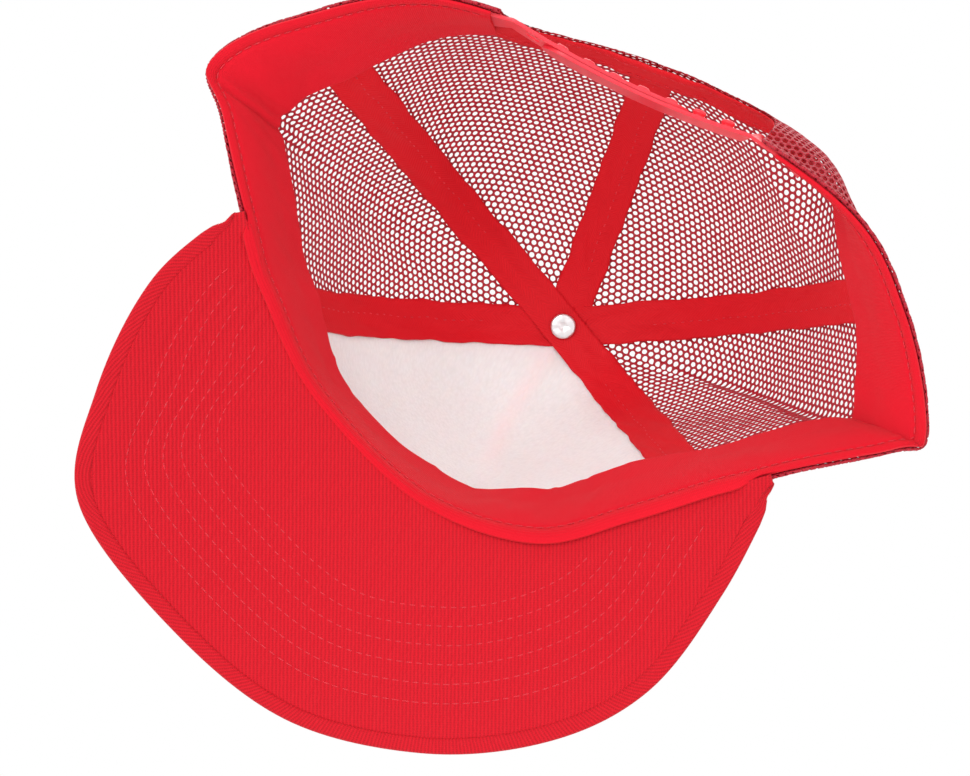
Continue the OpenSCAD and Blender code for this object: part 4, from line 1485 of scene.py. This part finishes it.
class CAP_OT_stage(bpy.types.Operator):
    """Set up the pale floor, the soft lights and the camera"""

    bl_idname = "cap.stage"
    bl_label = "Stage"

    # In metres, watts and degrees. The floor lies just under the cap, and the camera looks up from below
    FLOOR_SIZE, FLOOR_HEIGHT = 24.0, -0.0005
    AIM = (0, -0.02, 0.05)
    LAMPS = [  # name, place, diameter, power
        ("key_below", (0.75, 0.35, -1.25), 0.9, 8.5), ("fill_below", (-0.9, 0.5, -1.1), 1.2, 3.5),
        ("front_below", (0.1, -1.2, -0.9), 1.2, 3.0), ("key_above", (-0.9, -1.0, 1.4), 1.0, 9.0),
        ("fill_above", (1.2, -0.5, 1.2), 1.4, 4.0), ("back_above", (0.3, 1.4, 1.3), 1.3, 6.0)]
    LENS, SENSOR = 97.19, 36.0
    EYE = (-0.02879, -0.02130, -0.71579)
    EYE_ANGLES = (-179.3639, -2.4003, 150.8912)

    def execute(self, context):
        scene = context.scene
        self.floor(self.FLOOR_SIZE, self.FLOOR_HEIGHT)
        for lamp in self.LAMPS:
            self.light(*lamp)
        world = bpy.data.worlds.new("studio")
        world.use_nodes = True
        world.node_tree.nodes["Background"].inputs[0].default_value = (1, 1, 1, 1)
        world.node_tree.nodes["Background"].inputs[1].default_value = 1.0
        scene.world = world
        scene.view_settings.view_transform = "Standard"
        camera = bpy.data.cameras.new("camera")
        camera.lens, camera.sensor_width = self.LENS, self.SENSOR
        camera.clip_start, camera.clip_end = 0.01, 50
        eye = bpy.data.objects.new("camera", camera)
        eye.location = self.EYE
        eye.rotation_euler = [math.radians(a) for a in self.EYE_ANGLES]
        scene.collection.objects.link(eye)
        scene.camera = eye
        return {"FINISHED"}

    def floor(self, size, height):
        bm = bmesh.new()
        bmesh.ops.create_grid(bm, x_segments=2, y_segments=2, size=size / 2)
        bmesh.ops.translate(bm, vec=(0, 0, height), verts=bm.verts)
        mesh = bpy.data.meshes.new("floor")
        bm.to_mesh(mesh)
        bm.free()
        mesh.materials.append(one_sided("pale_ground", (0.55, 0.55, 0.55)))
        sheet = bpy.data.objects.new("floor", mesh)
        sheet.visible_shadow = sheet.visible_diffuse = False
        sheet.visible_glossy = sheet.visible_transmission = False
        bpy.context.scene.collection.objects.link(sheet)

    def light(self, name, place, size, power):
        data = bpy.data.lights.new(name, "AREA")
        data.shape, data.size, data.energy = "DISK", size, power
        lamp = bpy.data.objects.new(name, data)
        lamp.location = place
        lamp.rotation_euler = (Vector(self.AIM) - Vector(place)).to_track_quat("-Z", "Y").to_euler()
        lamp.visible_camera = False
        bpy.context.scene.collection.objects.link(lamp)


class CAP_PT_panel(bpy.types.Panel):
    """Lists the cap's pieces and settings"""

    bl_label = "Trucker Cap"
    bl_idname = "CAP_PT_panel"
    bl_space_type = "VIEW_3D"
    bl_region_type = "UI"
    bl_category = "Trucker Cap"

    def draw(self, context):
        for operator in OPERATORS:
            self.layout.operator(operator.bl_idname)
        for group in (context.scene.cap_colours, context.scene.cap_sizes):
            for name in group.__annotations__:
                self.layout.prop(group, name)


OPERATORS = (CAP_OT_front, CAP_OT_mesh, CAP_OT_tapes, CAP_OT_crown_stitching, CAP_OT_button,
             CAP_OT_sweatband,
             CAP_OT_binding, CAP_OT_visor, CAP_OT_strap, CAP_OT_stage)
CLASSES = (CapColours, CapSizes, *OPERATORS, CAP_PT_panel)


def register():
    for cls in CLASSES:
        bpy.utils.register_class(cls)
    bpy.types.Scene.cap_colours = bpy.props.PointerProperty(type=CapColours)
    bpy.types.Scene.cap_sizes = bpy.props.PointerProperty(type=CapSizes)


def unregister():
    del bpy.types.Scene.cap_sizes
    del bpy.types.Scene.cap_colours
    for cls in reversed(CLASSES):
        bpy.utils.unregister_class(cls)


def main():
    register()
    for operator in OPERATORS:
        category, name = operator.bl_idname.split(".")
        getattr(getattr(bpy.ops, category), name)()
    bpy.context.view_layer.update()


if __name__ == "__main__":
    main()
